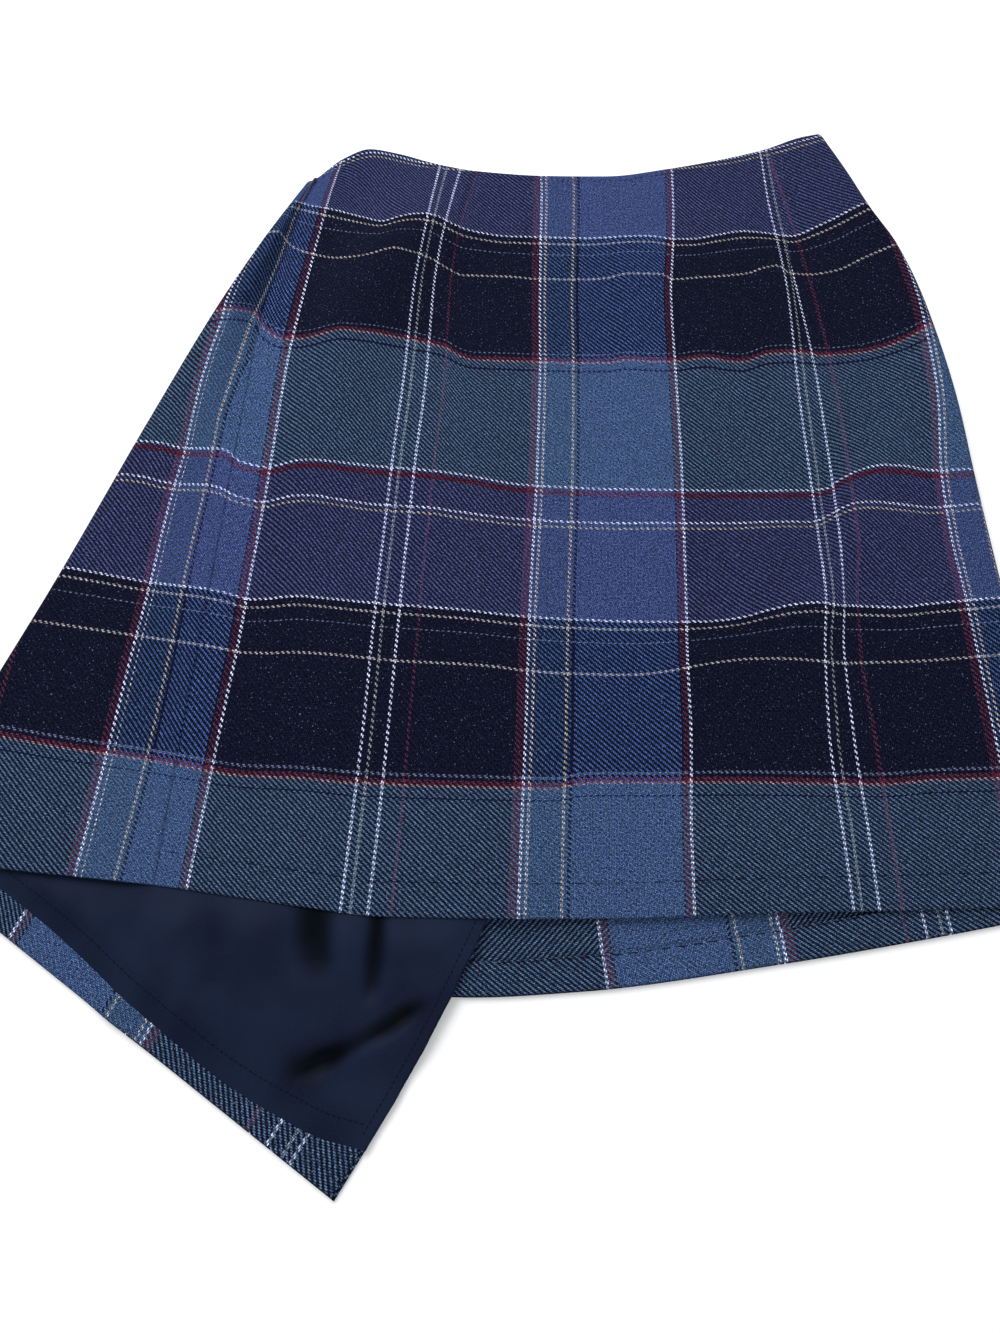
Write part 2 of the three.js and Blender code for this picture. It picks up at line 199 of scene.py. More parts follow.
# %% Outlines
WAIST = table(
    "x y",
    (-209, 515), (-191, 534), (-173, 543), (-151, 539), (-128, 532), (-94, 525), (-47, 522),
    (0, 523), (48, 532), (83, 541), (117, 552), (143, 564), (161, 569),
)
HEM = table(
    "x y",
    (-408, 23), (-342, 17), (-254, 10), (-171, 1), (-127, -3), (-60, -2), (0, 0), (95, 6),
    (162, 9.5), (218, 13), (270, 16),
)
LEFT_SIDE = table(
    "y fold seam rise",
    (515, -216, -209, 11), (490, -228, -217, 13), (450, -246, -225, 16), (396, -268.5, -236, 17.5),
    (310, -301, -241, 15.5), (190, -345, -246, 11), (110, -376, -250, 9), (18, -408, -254, 7.6),
)
RIGHT_SIDE = table(
    "y fold seam rise",
    (569, 161, 110, 9.4), (536, 177, 132, 10), (504, 191, 150, 10.5), (470, 208, 174, 11),
    (422, 222, 195, 11), (342, 235, 213, 10.5), (289, 239, 220, 10), (220, 245, 228, 9.5),
    (93, 259, 242, 8.5), (16, 270, 253, 7.6),
)
INNER_FRONT = table(
    "y x",
    (532, 100), (350, 58), (180, 8), (60, -40), (-6, -68), (-57, -91), (-106, -117), (-145, -140),
)
OUTER_HEM = table(
    "x y",
    (-240, -36), (-150, -44), (-84, -44), (-15, -39), (96, -21), (163, -8), (220, 4), (270, 16),
)
OUTER_FRONT = table("y x", (515, -160), (250, -205), (-36, -240))

waist_at = curve(WAIST, "x", "y")
hem_at = curve(HEM, "x", "y")
left_fold = curve(LEFT_SIDE, "y", "fold")
left_seam = curve(LEFT_SIDE, "y", "seam")
left_rise = curve(LEFT_SIDE, "y", "rise")
right_fold = curve(RIGHT_SIDE, "y", "fold")
right_seam = curve(RIGHT_SIDE, "y", "seam")
right_rise = curve(RIGHT_SIDE, "y", "rise")
inner_front = curve(INNER_FRONT, "y", "x")
outer_hem = curve(OUTER_HEM, "x", "y")
outer_front = curve(OUTER_FRONT, "y", "x")
print("back hem to waist at the centre back:", float(waist_at(0) - hem_at(0)), "mm")

# %% [markdown]
# Heights. The back lies on the layers under it, steps down past the hidden front edge, and rises into
# the right fold. Folds are soft ridges and troughs: each runs through a few places, and its height
# falls away from that path as a bell curve. The first ones are the main forms of the CAD solid, and
# the small ones are creases that only the finished cloth has.

# %% Folds
# Each dart follows one thread; its width is the cloth that it takes in
DARTS = table(
    "y left right left_width right_width",
    (0, -118.7, 142.5, 0, 0), (50, -116.4, 140.4, 0, 0), (110, -115.2, 136.7, 0, 0),
    (160, -113.7, 136.7, 0, 0), (200, -112.9, 140.9, 0, 0), (240, -111.4, 139, 0, 0),
    (280, -110.2, 137.1, 0, 0), (350, -106.6, 133.9, 1.5, 0.3),
    (420, -106.4, 130.9, 4, 6), (460, -103.9, 128, 9, 10),
    (500, -96.9, 123.3, 15, 15.5), (550, -85.4, 118.7, 25, 22.5),
)
DART_POINT = 420.0
DART_RUN = 60.0
DART_DEPTH = 1.2
DART_SHOULDER = 5.0
left_dart = curve(DARTS, "y", "left")
right_dart = curve(DARTS, "y", "right")
left_dart_width = curve(DARTS, "y", "left_width")
right_dart_width = curve(DARTS, "y", "right_width")

MAIN_FOLDS = [
    (32, through((-112, 502, 7), (-128, 474, 11), (-152, 446, 12.5), (-178, 377, 12), (-192, 279, 5),
                 (-196, 220, 1))),
    (16, through((-172, 500, -2.5), (-196, 446, -3))),
    (18, through((-226, 455, -2.5), (-239, 380, -3.5), (-243, 290, -2))),
    (20, through((196, 320, 1.5), (160, 250, 3), (128, 190, 2.2), (62, 152, 1.5))),
    (14, through((176, 345, -1), (143, 275, -2.2), (112, 205, -1.5))),
    (18, through((20, 455, -1.4), (28, 400, -1))),
    (20, through((62, 448, 2), (78, 380, 1))),
    (24, through((-70, 330, 1), (-86, 240, 1.2))),
]
SMALL_FOLDS = [
    (9, through((-60, 500, 0.4), (-72, 450, 0.8), (-80, 400, 0.3))),
    (7, through((98, 520, 0.3), (104, 470, 0.8), (112, 425, 0.5))),
    (8, through((140, 500, 0.6), (150, 450, 1.0), (158, 395, 0.4))),
    (11, through((-20, 300, 0.3), (10, 240, 0.6), (20, 190, 0.2))),
    (9, through((-150, 200, 0.3), (-164, 120, 0.7), (-170, 60, 0.2))),
    (10, through((200, 150, 0.3), (212, 90, 0.7), (216, 40, 0.2))),
    (8, through((60, 120, 0.2), (92, 90, 0.6), (120, 80, 0.2))),
    (9, through((-2, 468, -0.3), (-1, 430, -1.1), (2, 385, -0.9), (4, 325, -0.3))),
    (8, through((98, 486, -0.3), (99, 440, -1.0), (98, 392, -0.4))),
    (7, through((56, 440, -0.3), (60, 405, -0.8), (62, 372, -0.2))),
    (13, through((-214, 330, -0.6), (-208, 297, -1.5), (-197, 211, -2), (-187, 158, -1.8),
                 (-183, 115, -0.4))),
    (10, through((174, 305, -1), (150, 258, -2), (122, 208, -1.8), (92, 165, -0.6))),
]


def ridges(folds, x, y):
    """The sum of soft folds at places: each adds rise * exp(-(distance / half)^2), with its rise taken
    from the nearest place on its path."""
    total = np.zeros_like(x)
    for half, path in folds:
        away = np.full_like(x, np.inf)
        rise = np.zeros_like(x)
        for i in range(len(path["x"]) - 1):
            start = np.array([path["x"][i], path["y"][i]])
            run = np.array([path["x"][i + 1], path["y"][i + 1]]) - start
            along = np.clip(((x - start[0]) * run[0] + (y - start[1]) * run[1]) / (run @ run), 0, 1)
            distance = np.hypot(x - start[0] - run[0] * along, y - start[1] - run[1] * along)
            nearer = distance < away
            rise = np.where(nearer, mix(path["rise"][i], path["rise"][i + 1], along), rise)
            away = np.minimum(away, distance)
        total += rise * np.exp(-((away / half) ** 2))
    return total


SEAM_DIP = 0.7
SEAM_DIP_HALF = 2.2


def dart_groove(x, y):
    """How deep each dart's stitching pulls the cloth in, deepest on its line and gone at its shoulder."""
    near = np.minimum(np.abs(x - left_dart(y)), np.abs(x - right_dart(y)))
    return DART_DEPTH * smooth(DART_POINT, DART_POINT + DART_RUN, y) * (1 - smooth(0, DART_SHOULDER, near))


SLOPE_START = 6
SLOPE_END = 60


def back_height(x, y):
    """The back's outer surface: its level over the layers, the right side's rise, folds and darts."""
    level = mix(BACK_RISE, LOW_BACK_RISE, smooth(SLOPE_START, SLOPE_END, x - inner_front(y)))
    sided = mix(level, right_rise(y), smooth(SLOPE_END, SLOPE_START, right_fold(y) - x))
    dip = SEAM_DIP * np.exp(-(((x - left_seam(y)) / SEAM_DIP_HALF) ** 2))
    return sided + ridges(MAIN_FOLDS, x, y) + ridges(SMALL_FOLDS, x, y) - dart_groove(x, y) - dip


DROP_START = -14
DROP_END = -46


def inner_lower_height(x, y):
    """The lower layer of the inner panel: on the outer panel and its hem, and on the table beyond."""
    inside = np.minimum(y - outer_hem(x), x - outer_front(y))
    return (LAYER_LIFT + HEM_LIFT) * smooth(DROP_END, DROP_START, inside)


# %% [markdown]
# A place that was measured on the flat page belongs to the raised cloth that the camera sees there.
# lifted() slides it along its line of sight until it lies on the surface, and on_page() goes the other
# way. This keeps seams, edges and stripes where the photograph has them, on cloth that has real height.

# %% Lines of sight
SIGHT_STEPS = 10


def lifted(x, y, height):
    """Page places moved along their lines of sight onto the surface z = height(x, y). A point at height
    z lies at EYE + (page - EYE) * (EYE_z - z) / (EYE_z - PAGE), and z is found by repeating that."""
    at_x, at_y = x, y
    for _ in range(SIGHT_STEPS):
        z = height(at_x, at_y)
        reach = (EYE[2] - z) / (EYE[2] - PAGE)
        at_x = EYE[0] + (x - EYE[0]) * reach
        at_y = EYE[1] + (y - EYE[1]) * reach
    return np.stack([at_x, at_y, z], axis=-1)


def on_page(places):
    """Where the line of sight through each place meets the page."""
    reach = (EYE[2] - PAGE) / (EYE[2] - places[..., 2])
    return EYE[0] + (places[..., 0] - EYE[0]) * reach, EYE[1] + (places[..., 1] - EYE[1]) * reach


# %% [markdown]
# The cloth's own coordinates say which thread lies where: p counts millimetres of cloth across the
# threads that run down the skirt (the warp), from the centre back, and q counts millimetres up from
# the hem across the threads that run round it (the weft). They become each piece's UV map, so the
# plaid, the twill and the dashes all follow the threads. A few threads that could be followed in the
# photograph are the guides, and the cloth between two guides is spread evenly.

# %% Guide threads
# Each warp guide: its thread, and the x where it crosses each of the guide rows' heights
GUIDE_ROWS = (0, 50, 110, 160, 200, 240, 280, 350, 420, 460, 500, 550)
WARP_GUIDES = {
    -237.4: (-236, -231.9, -227.3, -223.3, -221.3, -218.9, -217.2, -214.8, -208.1, -203.5, -198.5, -189),
    -148.0: (-149, -146.8, -144.4, -143.5, -142.4, -141, -139.6, -136, -133.8, -130.2, -125.5, -118),
    -119.4: (-120.3, -118, -116.8, -115.3, -114.5, -113, -111.8, -108.2, -108, -105.5, -98.5, -87),
    -47.6: (-49.8, -49.2, -48.2, -47.8, -47.2, -46, -45, -44.5, -45.8, -46, -46.2, -48),
    47.6: (47.8, 47.5, 49, 48.2, 48.5, 48.5, 48.3, 46.5, 44.6, 47, 48.2, 48),
    137.0: (137, 134, 130.5, 132, 135.2, 133.4, 131.2, 127.8, 126.2, 122.2, 117, 113.2),
    166.5: (165.5, 162.2, 158, 154.2, 155.2, 159.6, 158, 153.4, 145, 138, 130.5, 120),
    237.4: (234, 231, 227.5, 224, 220.8, 216.8, 215.5, 220, 215.8, 208.8, 200, 187),
}
SEAM_WARP = -258.0
DART_WARPS = (-117.8, 143.7)
# Each weft guide: its thread, and then an x and how far the thread rises above its own number there
WEFT_GUIDES = {
    76.5: ((-360, 16), (-320, 10.2), (-280, 5.6), (-250, 1.6), (-235, -0.6), (-210, -3.5), (-180, -3.6),
        (-148, -5.4), (-110, -5.8), (-60, -5.4), (-30, -4.9), (-15, -1.5), (0, -0.4), (30, 0.3), (60, 1.6),
        (100, 2.5), (140, 2.9), (160, 3.6), (190, 7), (220, 8.9), (240, 10)),
    141.3: ((-320, 20), (-280, 15.2), (-250, 11.7), (-235, 9.6), (-220, 7.1), (-205, 7.2), (-190, 8.3),
        (-170, 7.9), (-148, 6.3), (-120, 4.6), (-90, 4.1), (-70, 3.2), (-47, 0.9), (-30, 0.1), (0, 0),
        (15, 0.4), (30, 2.3), (47, 6), (70, 11), (90, 13.4), (110, 13.8), (125, 13.1), (140, 11.9),
        (160, 12.9), (190, 14.9), (210, 17.1), (235, 20)),
    176.8: ((-320, 22), (-280, 15.8), (-250, 13.2), (-235, 10.5), (-220, 6.8), (-210, 7.5), (-190, 10),
        (-170, 8.8), (-148, 7.1), (-110, 5.2), (-90, 4.2), (-60, 1.4), (-30, 0), (0, -0.5), (30, -0.1),
        (60, 1), (80, 3.8), (100, 10.2), (120, 15.3), (130, 16.2), (145, 14.5), (175, 14.2), (200, 17.5),
        (235, 22)),
    243.7: ((-315, 24.3), (-300, 23), (-284, 19.2), (-268, 18), (-258, 18.3), (-248, 16.1), (-240, 12),
        (-230, 8.8), (-220, 6.8), (-210, 9.6), (-200, 12.2), (-190, 12.8), (-170, 10.2), (-148, 7.5),
        (-110, 6.2), (-100, 4.6), (-80, 2.3), (-60, 0.3), (-30, -0.8), (0, -1), (30, 0.1), (80, 1.6),
        (110, 3.6), (130, 4), (140, 8.8), (150, 15), (160, 18.9), (170, 19.7), (190, 18.1), (205, 16.7),
        (235, 20.3)),
    268.0: ((-307, 25.6), (-291, 24.3), (-275, 20.6), (-252, 21), (-247, 19.6), (-239, 12.8), (-228, 9.5),
        (-220, 8.2), (-210, 11), (-200, 14.2), (-190, 14.8), (-170, 13.2), (-148, 11.2), (-120, 9.8),
        (-100, 8), (-80, 4.9), (-60, 1.3), (-30, -0.1), (0, -0.6), (30, -0.1), (80, 0.6), (120, 2.2),
        (140, 3.8), (150, 11), (160, 17), (170, 21.1), (180, 23), (190, 22.9), (210, 19.8), (235, 21.6)),
    367.7: ((-270, 28), (-261, 31), (-248, 30.2), (-239.5, 26.5), (-235, 18), (-228, 11.5), (-220, 8.2),
        (-210, 8.4), (-200, 10.5), (-190, 14.5), (-180, 16.9), (-160, 15.2), (-148, 13), (-130, 9.4),
        (-110, 5), (-100, -1.2), (-90, -4.7), (-30, -4.8), (0, -4), (15, -1.4), (30, -2.1), (47, -1.6),
        (60, 1.2), (70, 2.1), (80, 0.1), (90, -0.7), (110, 6.6), (130, 8), (145, 6.4), (170, 9.2),
        (180, 11.5), (200, 19.8), (215, 29)),
    433.8: ((-239, 33.4), (-232, 33.5), (-227, 27.5), (-220, 19.8), (-205, 14), (-190, 11.6),
        (-170, 14.8), (-148, 22), (-138, 19.3), (-130, 16.8), (-120, 11.7), (-110, 4.5), (-100, -0.6),
        (-70, -0.6), (-47, -2), (-15, -1.5), (0, 0.3), (8, 3), (15, 4.9), (38, 5.3), (47, 0.8), (60, 2.4),
        (80, 4.6), (100, 8), (110, 12.8), (120, 15), (128, 9), (140, 7.8), (160, 11.8), (180, 23.2),
        (200, 34.2)),
    468.5: ((-210, 22.8), (-190, 17.8), (-170, 11.8), (-160, 9.5), (-148, 14), (-138, 17), (-130, 17.8),
        (-120, 15.6), (-110, 9.8), (-100, 4.8), (-90, 2), (-70, -1), (-15, -1), (0, 0.2), (15, 1.8),
        (30, 2.6), (47, 0.6), (60, 0.8), (80, 5.4), (98, 9), (110, 8), (130, 5.5), (150, 15), (180, 34)),
    533.0: ((-209, -16), (-170, 5), (-130, -4), (-97, -6), (-47, -2), (0, 0), (48, 1), (83, 6),
        (117, 16), (160, 32)),
}


LEAST_STEP = 1.0


def between_guides(value, knots, results):
    """Even steps from one guide to the next, where the guides' own places vary over the cloth. Beyond
    the first and the last guide a millimetre counts as a millimetre."""
    total = results[0] + np.minimum(value - knots[0], 0)
    for low, high, start, end in zip(knots, knots[1:], results, results[1:]):
        total = total + (end - start) * np.clip((value - low) / np.maximum(high - low, LEAST_STEP), 0, 1)
    return total + np.maximum(value - knots[-1], 0)


def taken_in(y, darts_passed):
    """How much cloth the first so many darts, counted from the left, have taken in at a height."""
    widths = (np.maximum(left_dart_width(y), 0), np.maximum(right_dart_width(y), 0))
    return sum(widths[:darts_passed], np.zeros_like(y))


warp_guides = {
    warp: curve({"y": np.array(GUIDE_ROWS, float), "x": np.array(places, float)}, "y", "x")
    for warp, places in WARP_GUIDES.items()
}
weft_guides = {weft: curve(table("x rise", *rows), "x", "rise") for weft, rows in WEFT_GUIDES.items()}


def back_warp(x, y, darts_passed):
    """The warp coordinate at page places of the back: even steps between guides in the cloth that the
    darts leave, plus the cloth in each dart already passed from the left."""
    lines = {SEAM_WARP: left_seam, DART_WARPS[0]: left_dart, DART_WARPS[1]: right_dart, **warp_guides}
    threads = sorted(lines)
    left = [thread - taken_in(y, sum(thread > dart for dart in DART_WARPS)) for thread in threads]
    return between_guides(x, [lines[thread](y) for thread in threads], left) + taken_in(y, darts_passed)


def weft(x, y):
    """The weft coordinate at page places: even steps from the hem through the guide threads."""
    knots = [hem_at(x)] + [level + guide(x) for level, guide in weft_guides.items()]
    return between_guides(y, knots, [0.0] + list(weft_guides))


# %% [markdown]
# Every panel is a grid of columns and rows. The columns run up the skirt and go round it so that the
# cloth's face points outwards, and the rows run from the hem to the waist. A folded edge is a few more
# rows that curl inwards. Solidify then gives the sheet its thickness on the inside.

# %% Grids and meshes


def grid_normals(places):
    """Unit normals of a grid: the cross product of its steps across and up."""
    across = np.gradient(places, axis=0)
    upward = np.gradient(places, axis=1)
    normal = np.cross(across, upward)
    return normal / np.linalg.norm(normal, axis=-1, keepdims=True)


CURL_ANGLES = (20, 45, 70, 95)


def curled(places, cloth, radius, ends=(True, True)):
    """Adds rows that curl in at the first and the last row. At an angle a from the edge E, with the
    outward direction T and the normal N, a row is E + radius * (sin(a) T - (1 - cos(a)) N), and the
    cloth's own coordinate runs on by the arc's length."""
    normal = grid_normals(places)
    for end in (0, 1):
        if not ends[end]:
            continue
        edge, inside = (0, 1) if end == 0 else (-1, -2)
        out = places[:, edge] - places[:, inside]
        length = np.linalg.norm(out, axis=-1, keepdims=True)
        cloth_out = (cloth[:, edge] - cloth[:, inside]) / length
        turn = np.radians(CURL_ANGLES)[None, :, None]
        rows = (
            places[:, edge][:, None]
            + radius * np.sin(turn) * (out / length)[:, None]
            - radius * (1 - np.cos(turn)) * normal[:, edge][:, None]
        )
        more = cloth[:, edge][:, None] + radius * turn * cloth_out[:, None]
        if end == 0:
            places = np.concatenate([rows[:, ::-1], places], axis=1)
            cloth = np.concatenate([more[:, ::-1], cloth], axis=1)
        else:
            places = np.concatenate([places, rows], axis=1)
            cloth = np.concatenate([cloth, more], axis=1)
    return places, cloth


def mesh_object(name, places, faces, material):
    """A smooth mesh object with its corners at places in mm."""
    mesh = bpy.data.meshes.new(name)
    mesh.from_pydata((places.reshape(-1, 3) * MM).tolist(), [], faces)
    mesh.polygons.foreach_set("use_smooth", np.ones(len(mesh.polygons), dtype=bool))
    mesh.materials.append(material)
    made = bpy.data.objects.new(name, mesh)
    bpy.context.collection.objects.link(made)
    return made


def sheet_object(name, places, cloth, material, thickness):
    """A mesh through a grid of places in mm, with the cloth's coordinates as its UV map in metres, and
    a wall on its inner side."""
    columns, rows = places.shape[:2]
    index = np.arange(columns * rows).reshape(columns, rows)
    corners = [index[:-1, :-1], index[1:, :-1], index[1:, 1:], index[:-1, 1:]]
    quads = np.stack(corners, axis=-1).reshape(-1, 4)
    piece = mesh_object(name, places, quads.tolist(), material)
    uv_map = piece.data.uv_layers.new(name="Cloth")
    uv_map.data.foreach_set("uv", (cloth.reshape(-1, 2)[quads.ravel()] * MM).astype(np.float32).ravel())
    wall = piece.modifiers.new("Wall", "SOLIDIFY")
    wall.thickness = thickness * MM
    wall.offset = -1
    diagonals = np.cross(places[1:, 1:] - places[:-1, :-1], places[1:, :-1] - places[:-1, 1:])
    area = np.linalg.norm(diagonals, axis=-1).sum() / 2
    print(name, "has", len(quads), "quads and", round(area / 1e6, 4), "square metres of cloth")
    return piece


# %% [markdown]
# Materials. The cloth is a 2/2 twill: each warp yarn goes over two weft yarns and under two, one step
# on with every pick, which draws the diagonals. The yarns themselves carry the plaid. A group finds
# which yarn lies on top at a place and how high it stands, and two lists of stripes give the colour of
# every warp and weft yarn. The dashes in a coloured line then come by themselves, as on the loom.

# %% Node helpers


def give_out(group, outputs, *results):
    """Links results to a group's outputs, in their order."""
    for socket, result in zip(outputs.inputs, results):
        group.links.new(result, socket)


def new_group(name, inputs, outputs):
    """A shader node group with named sockets: each is a (name, socket type) pair."""
    group = bpy.data.node_groups.new(name, "ShaderNodeTree")
    for socket, kind in inputs:
        group.interface.new_socket(socket, in_out="INPUT", socket_type=kind)
    for socket, kind in outputs:
        group.interface.new_socket(socket, in_out="OUTPUT", socket_type=kind)
    return group, group.nodes.new("NodeGroupInput"), group.nodes.new("NodeGroupOutput")


def feed(tree, socket, value):
    """Links a socket to another, or sets its own value."""
    if isinstance(value, bpy.types.NodeSocket):
        tree.links.new(value, socket)
    else:
        socket.default_value = value


def maths(tree, operation, *values):
    """A Math node on sockets or numbers."""
    node = tree.nodes.new("ShaderNodeMath")
    node.operation = operation
    for socket, value in zip(node.inputs, values):
        feed(tree, socket, value)
    return node.outputs[0]


def blend(tree, share, a, b, kind="MIX"):
    """A colour Mix node."""
    node = tree.nodes.new("ShaderNodeMix")
    node.data_type = "RGBA"
    node.blend_type = kind
    feed(tree, node.inputs[0], share)
    feed(tree, node.inputs[6], a)
    feed(tree, node.inputs[7], b)
    return node.outputs[2]


def noise(tree, vector, scale, detail=2.0, roughness=0.5):
    """The value of a Noise texture."""
    node = tree.nodes.new("ShaderNodeTexNoise")
    feed(tree, node.inputs["Vector"], vector)
    set_sockets(node, {"Scale": scale, "Detail": detail, "Roughness": roughness})
    return node.outputs["Fac"]


def band(tree, value, low, high):
    """An S from 0 at low to 1 at high."""
    node = tree.nodes.new("ShaderNodeMapRange")
    node.interpolation_type = "SMOOTHSTEP"
    feed(tree, node.inputs["Value"], value)
    set_sockets(node, {"From Min": low, "From Max": high})
    return node.outputs["Result"]


def between(tree, share, low, high):
    """Goes straight from low to high as the share goes from 0 to 1."""
    return maths(tree, "MULTIPLY_ADD", share, high - low, low)


def colour(red, green, blue):
    """A screen colour of 0 to 255 as the linear light that a shader takes."""
    screen = np.array([red, green, blue]) / 255
    light = np.where(screen > 0.04045, ((screen + 0.055) / 1.055) ** 2.4, screen / 12.92)
    return (*light.tolist(), 1.0)


# %% Twill weave group
WARP_YARN = 0.90
WEFT_YARN = 0.80
TWILL_REPEAT = 4
# How high a yarn stands at a float's ends, as a share of its height in the middle
FLOAT_END = 0.4


def twill_group():
    """Which yarn lies on top. With i and j the numbers of the warp and the weft yarn at a place, the
    warp is on top where (i + j) mod 4 is 0 or 1. A yarn is round across and sinks at its float's ends,
    and every crossing has its own chance value."""
    results = ("Warp place", "Weft place", "Warp on top", "Height", "Chance")
    group, inputs, outputs = new_group(
        "Twill weave", [("Cloth", "NodeSocketVector")], [(name, "NodeSocketFloat") for name in results]
    )
    calc = partial(maths, group)
    split = group.nodes.new("ShaderNodeSeparateXYZ")
    group.links.new(inputs.outputs["Cloth"], split.inputs[0])
    warp = calc("DIVIDE", split.outputs[0], WARP_YARN * MM)
    weft_ = calc("DIVIDE", split.outputs[1], WEFT_YARN * MM)
    i = calc("FLOOR", warp)
    j = calc("FLOOR", weft_)
    phase = calc("FRACT", calc("DIVIDE", calc("ADD", i, j), TWILL_REPEAT))
    on_top = calc("LESS_THAN", phase, 0.5)

    def bulge(place):
        """A parabola, 1 in the middle of a yarn and 0 at its edges."""
        return calc("MULTIPLY", calc("MULTIPLY", place, 4.0), calc("SUBTRACT", 1.0, place))

    def float_height(across, own, other, shift):
        """A yarn's height on its float: its roundness times its rise between two crossings."""
        along = calc("FRACT", calc("DIVIDE", calc("ADD", own, other), TWILL_REPEAT))
        along = calc("MULTIPLY_ADD", along, 2.0, shift)
        rise = between(group, bulge(along), FLOAT_END, 1.0)
        return calc("MULTIPLY", bulge(calc("FRACT", across)), rise)

    warp_height = float_height(warp, i, weft_, 0.0)
    weft_height = float_height(weft_, j, warp, -1.0)
    height = calc("MULTIPLY_ADD", calc("SUBTRACT", warp_height, weft_height), on_top, weft_height)
    crossing = group.nodes.new("ShaderNodeCombineXYZ")
    group.links.new(i, crossing.inputs[0])
    group.links.new(j, crossing.inputs[1])
    chance = group.nodes.new("ShaderNodeTexWhiteNoise")
    group.links.new(crossing.outputs[0], chance.inputs["Vector"])
    warp_place = calc("MULTIPLY", calc("ADD", i, 0.5), WARP_YARN)
    weft_place = calc("MULTIPLY", calc("ADD", j, 0.5), WEFT_YARN)
    give_out(group, outputs, warp_place, weft_place, on_top, height, chance.outputs["Value"])
    return group


# %% Plaid colours
NIGHT = colour(19, 22, 43)
BLUE = colour(57, 78, 130)
STEEL = colour(52, 75, 118)
BLACK = colour(15, 17, 35)
PURPLE = colour(64, 71, 114)
TEAL = colour(70, 93, 122)
WHITE = colour(186, 192, 222)
CREAM = colour(158, 156, 170)
YELLOW = colour(152, 146, 148)
ROSE = colour(142, 118, 126)
DULL = colour(122, 127, 134)
GREY = colour(86, 94, 122)
RED = colour(94, 36, 54)
DEEP_RED = colour(74, 36, 60)
NAVY = colour(20, 28, 60)

# Each list runs over one repeat: where a colour starts, in mm, and the colour
WARP_REPEAT = 285.0
WARP_START = -150.0
WARP_STRIPES = [
    (-150, NIGHT), (-148.9, WHITE), (-147.1, NIGHT), (-143.4, DULL), (-141.6, NIGHT), (-133.5, WHITE),
    (-131.7, NIGHT), (-120.8, DEEP_RED), (-118.4, NIGHT), (-53.6, DEEP_RED), (-48.6, WHITE), (-46.8, STEEL),
    (-44.8, CREAM), (-43.2, STEEL), (-24.8, YELLOW), (-23.2, STEEL), (-21.4, NAVY), (-19.6, BLUE),
    (41.9, NAVY), (43.2, DEEP_RED), (46.7, WHITE), (48.5, NIGHT),
]
WEFT_REPEAT = 291.3
WEFT_START = 0.0
WEFT_STRIPES = [
    (0, TEAL), (67.6, NAVY), (69.2, TEAL), (75.2, ROSE), (76.8, RED), (79.4, BLACK), (81.2, GREY),
    (82.0, BLACK), (140.5, YELLOW), (142.1, BLACK), (161.2, GREY), (162.0, BLACK), (170.7, YELLOW),
    (172.2, BLACK), (176.0, WHITE), (177.6, PURPLE), (239.1, YELLOW), (240.7, PURPLE), (242.9, WHITE),
    (244.5, PURPLE), (262.4, RED), (265.6, PURPLE), (267.2, WHITE), (268.8, TEAL),
]


def stripes(tree, place, start, repeat, rows):
    """The colour of the yarn at a place: the place is brought into one repeat, and each row of the list
    that starts before it lays its colour over the last."""
    turns = maths(tree, "FRACT", maths(tree, "DIVIDE", maths(tree, "SUBTRACT", place, start), repeat))
    within = maths(tree, "MULTIPLY_ADD", turns, repeat, start)
    shade = rows[0][1]
    for at, own in rows[1:]:
        shade = blend(tree, maths(tree, "GREATER_THAN", within, at), shade, own)
    return shade


# %% Plaid cloth group
# Each noise: its scale, detail and roughness
FIBRE_NOISE = (950, 3, 0.75)
FLECK_NOISE = (850, 1, 0.5)
# Where each S begins and ends
CREST = (0.15, 0.95)
SOFT = (0.35, 0.65)
FLECK = (0.68, 0.76)
# From the least to the most light of a fibre and of a yarn, and the painted shade of the weave: darkest in
# its hollows, lightest on its yarn crests
FIBRE_LIGHT = (0.17, 1.67)
YARN_LIGHT = (0.7, 1.25)
PAINTED_WEAVE_SHADE = (0.18, 1.48)
FLECK_SHARE = 0.5
TWILL_ROUGHNESS = (0.8, 0.92)


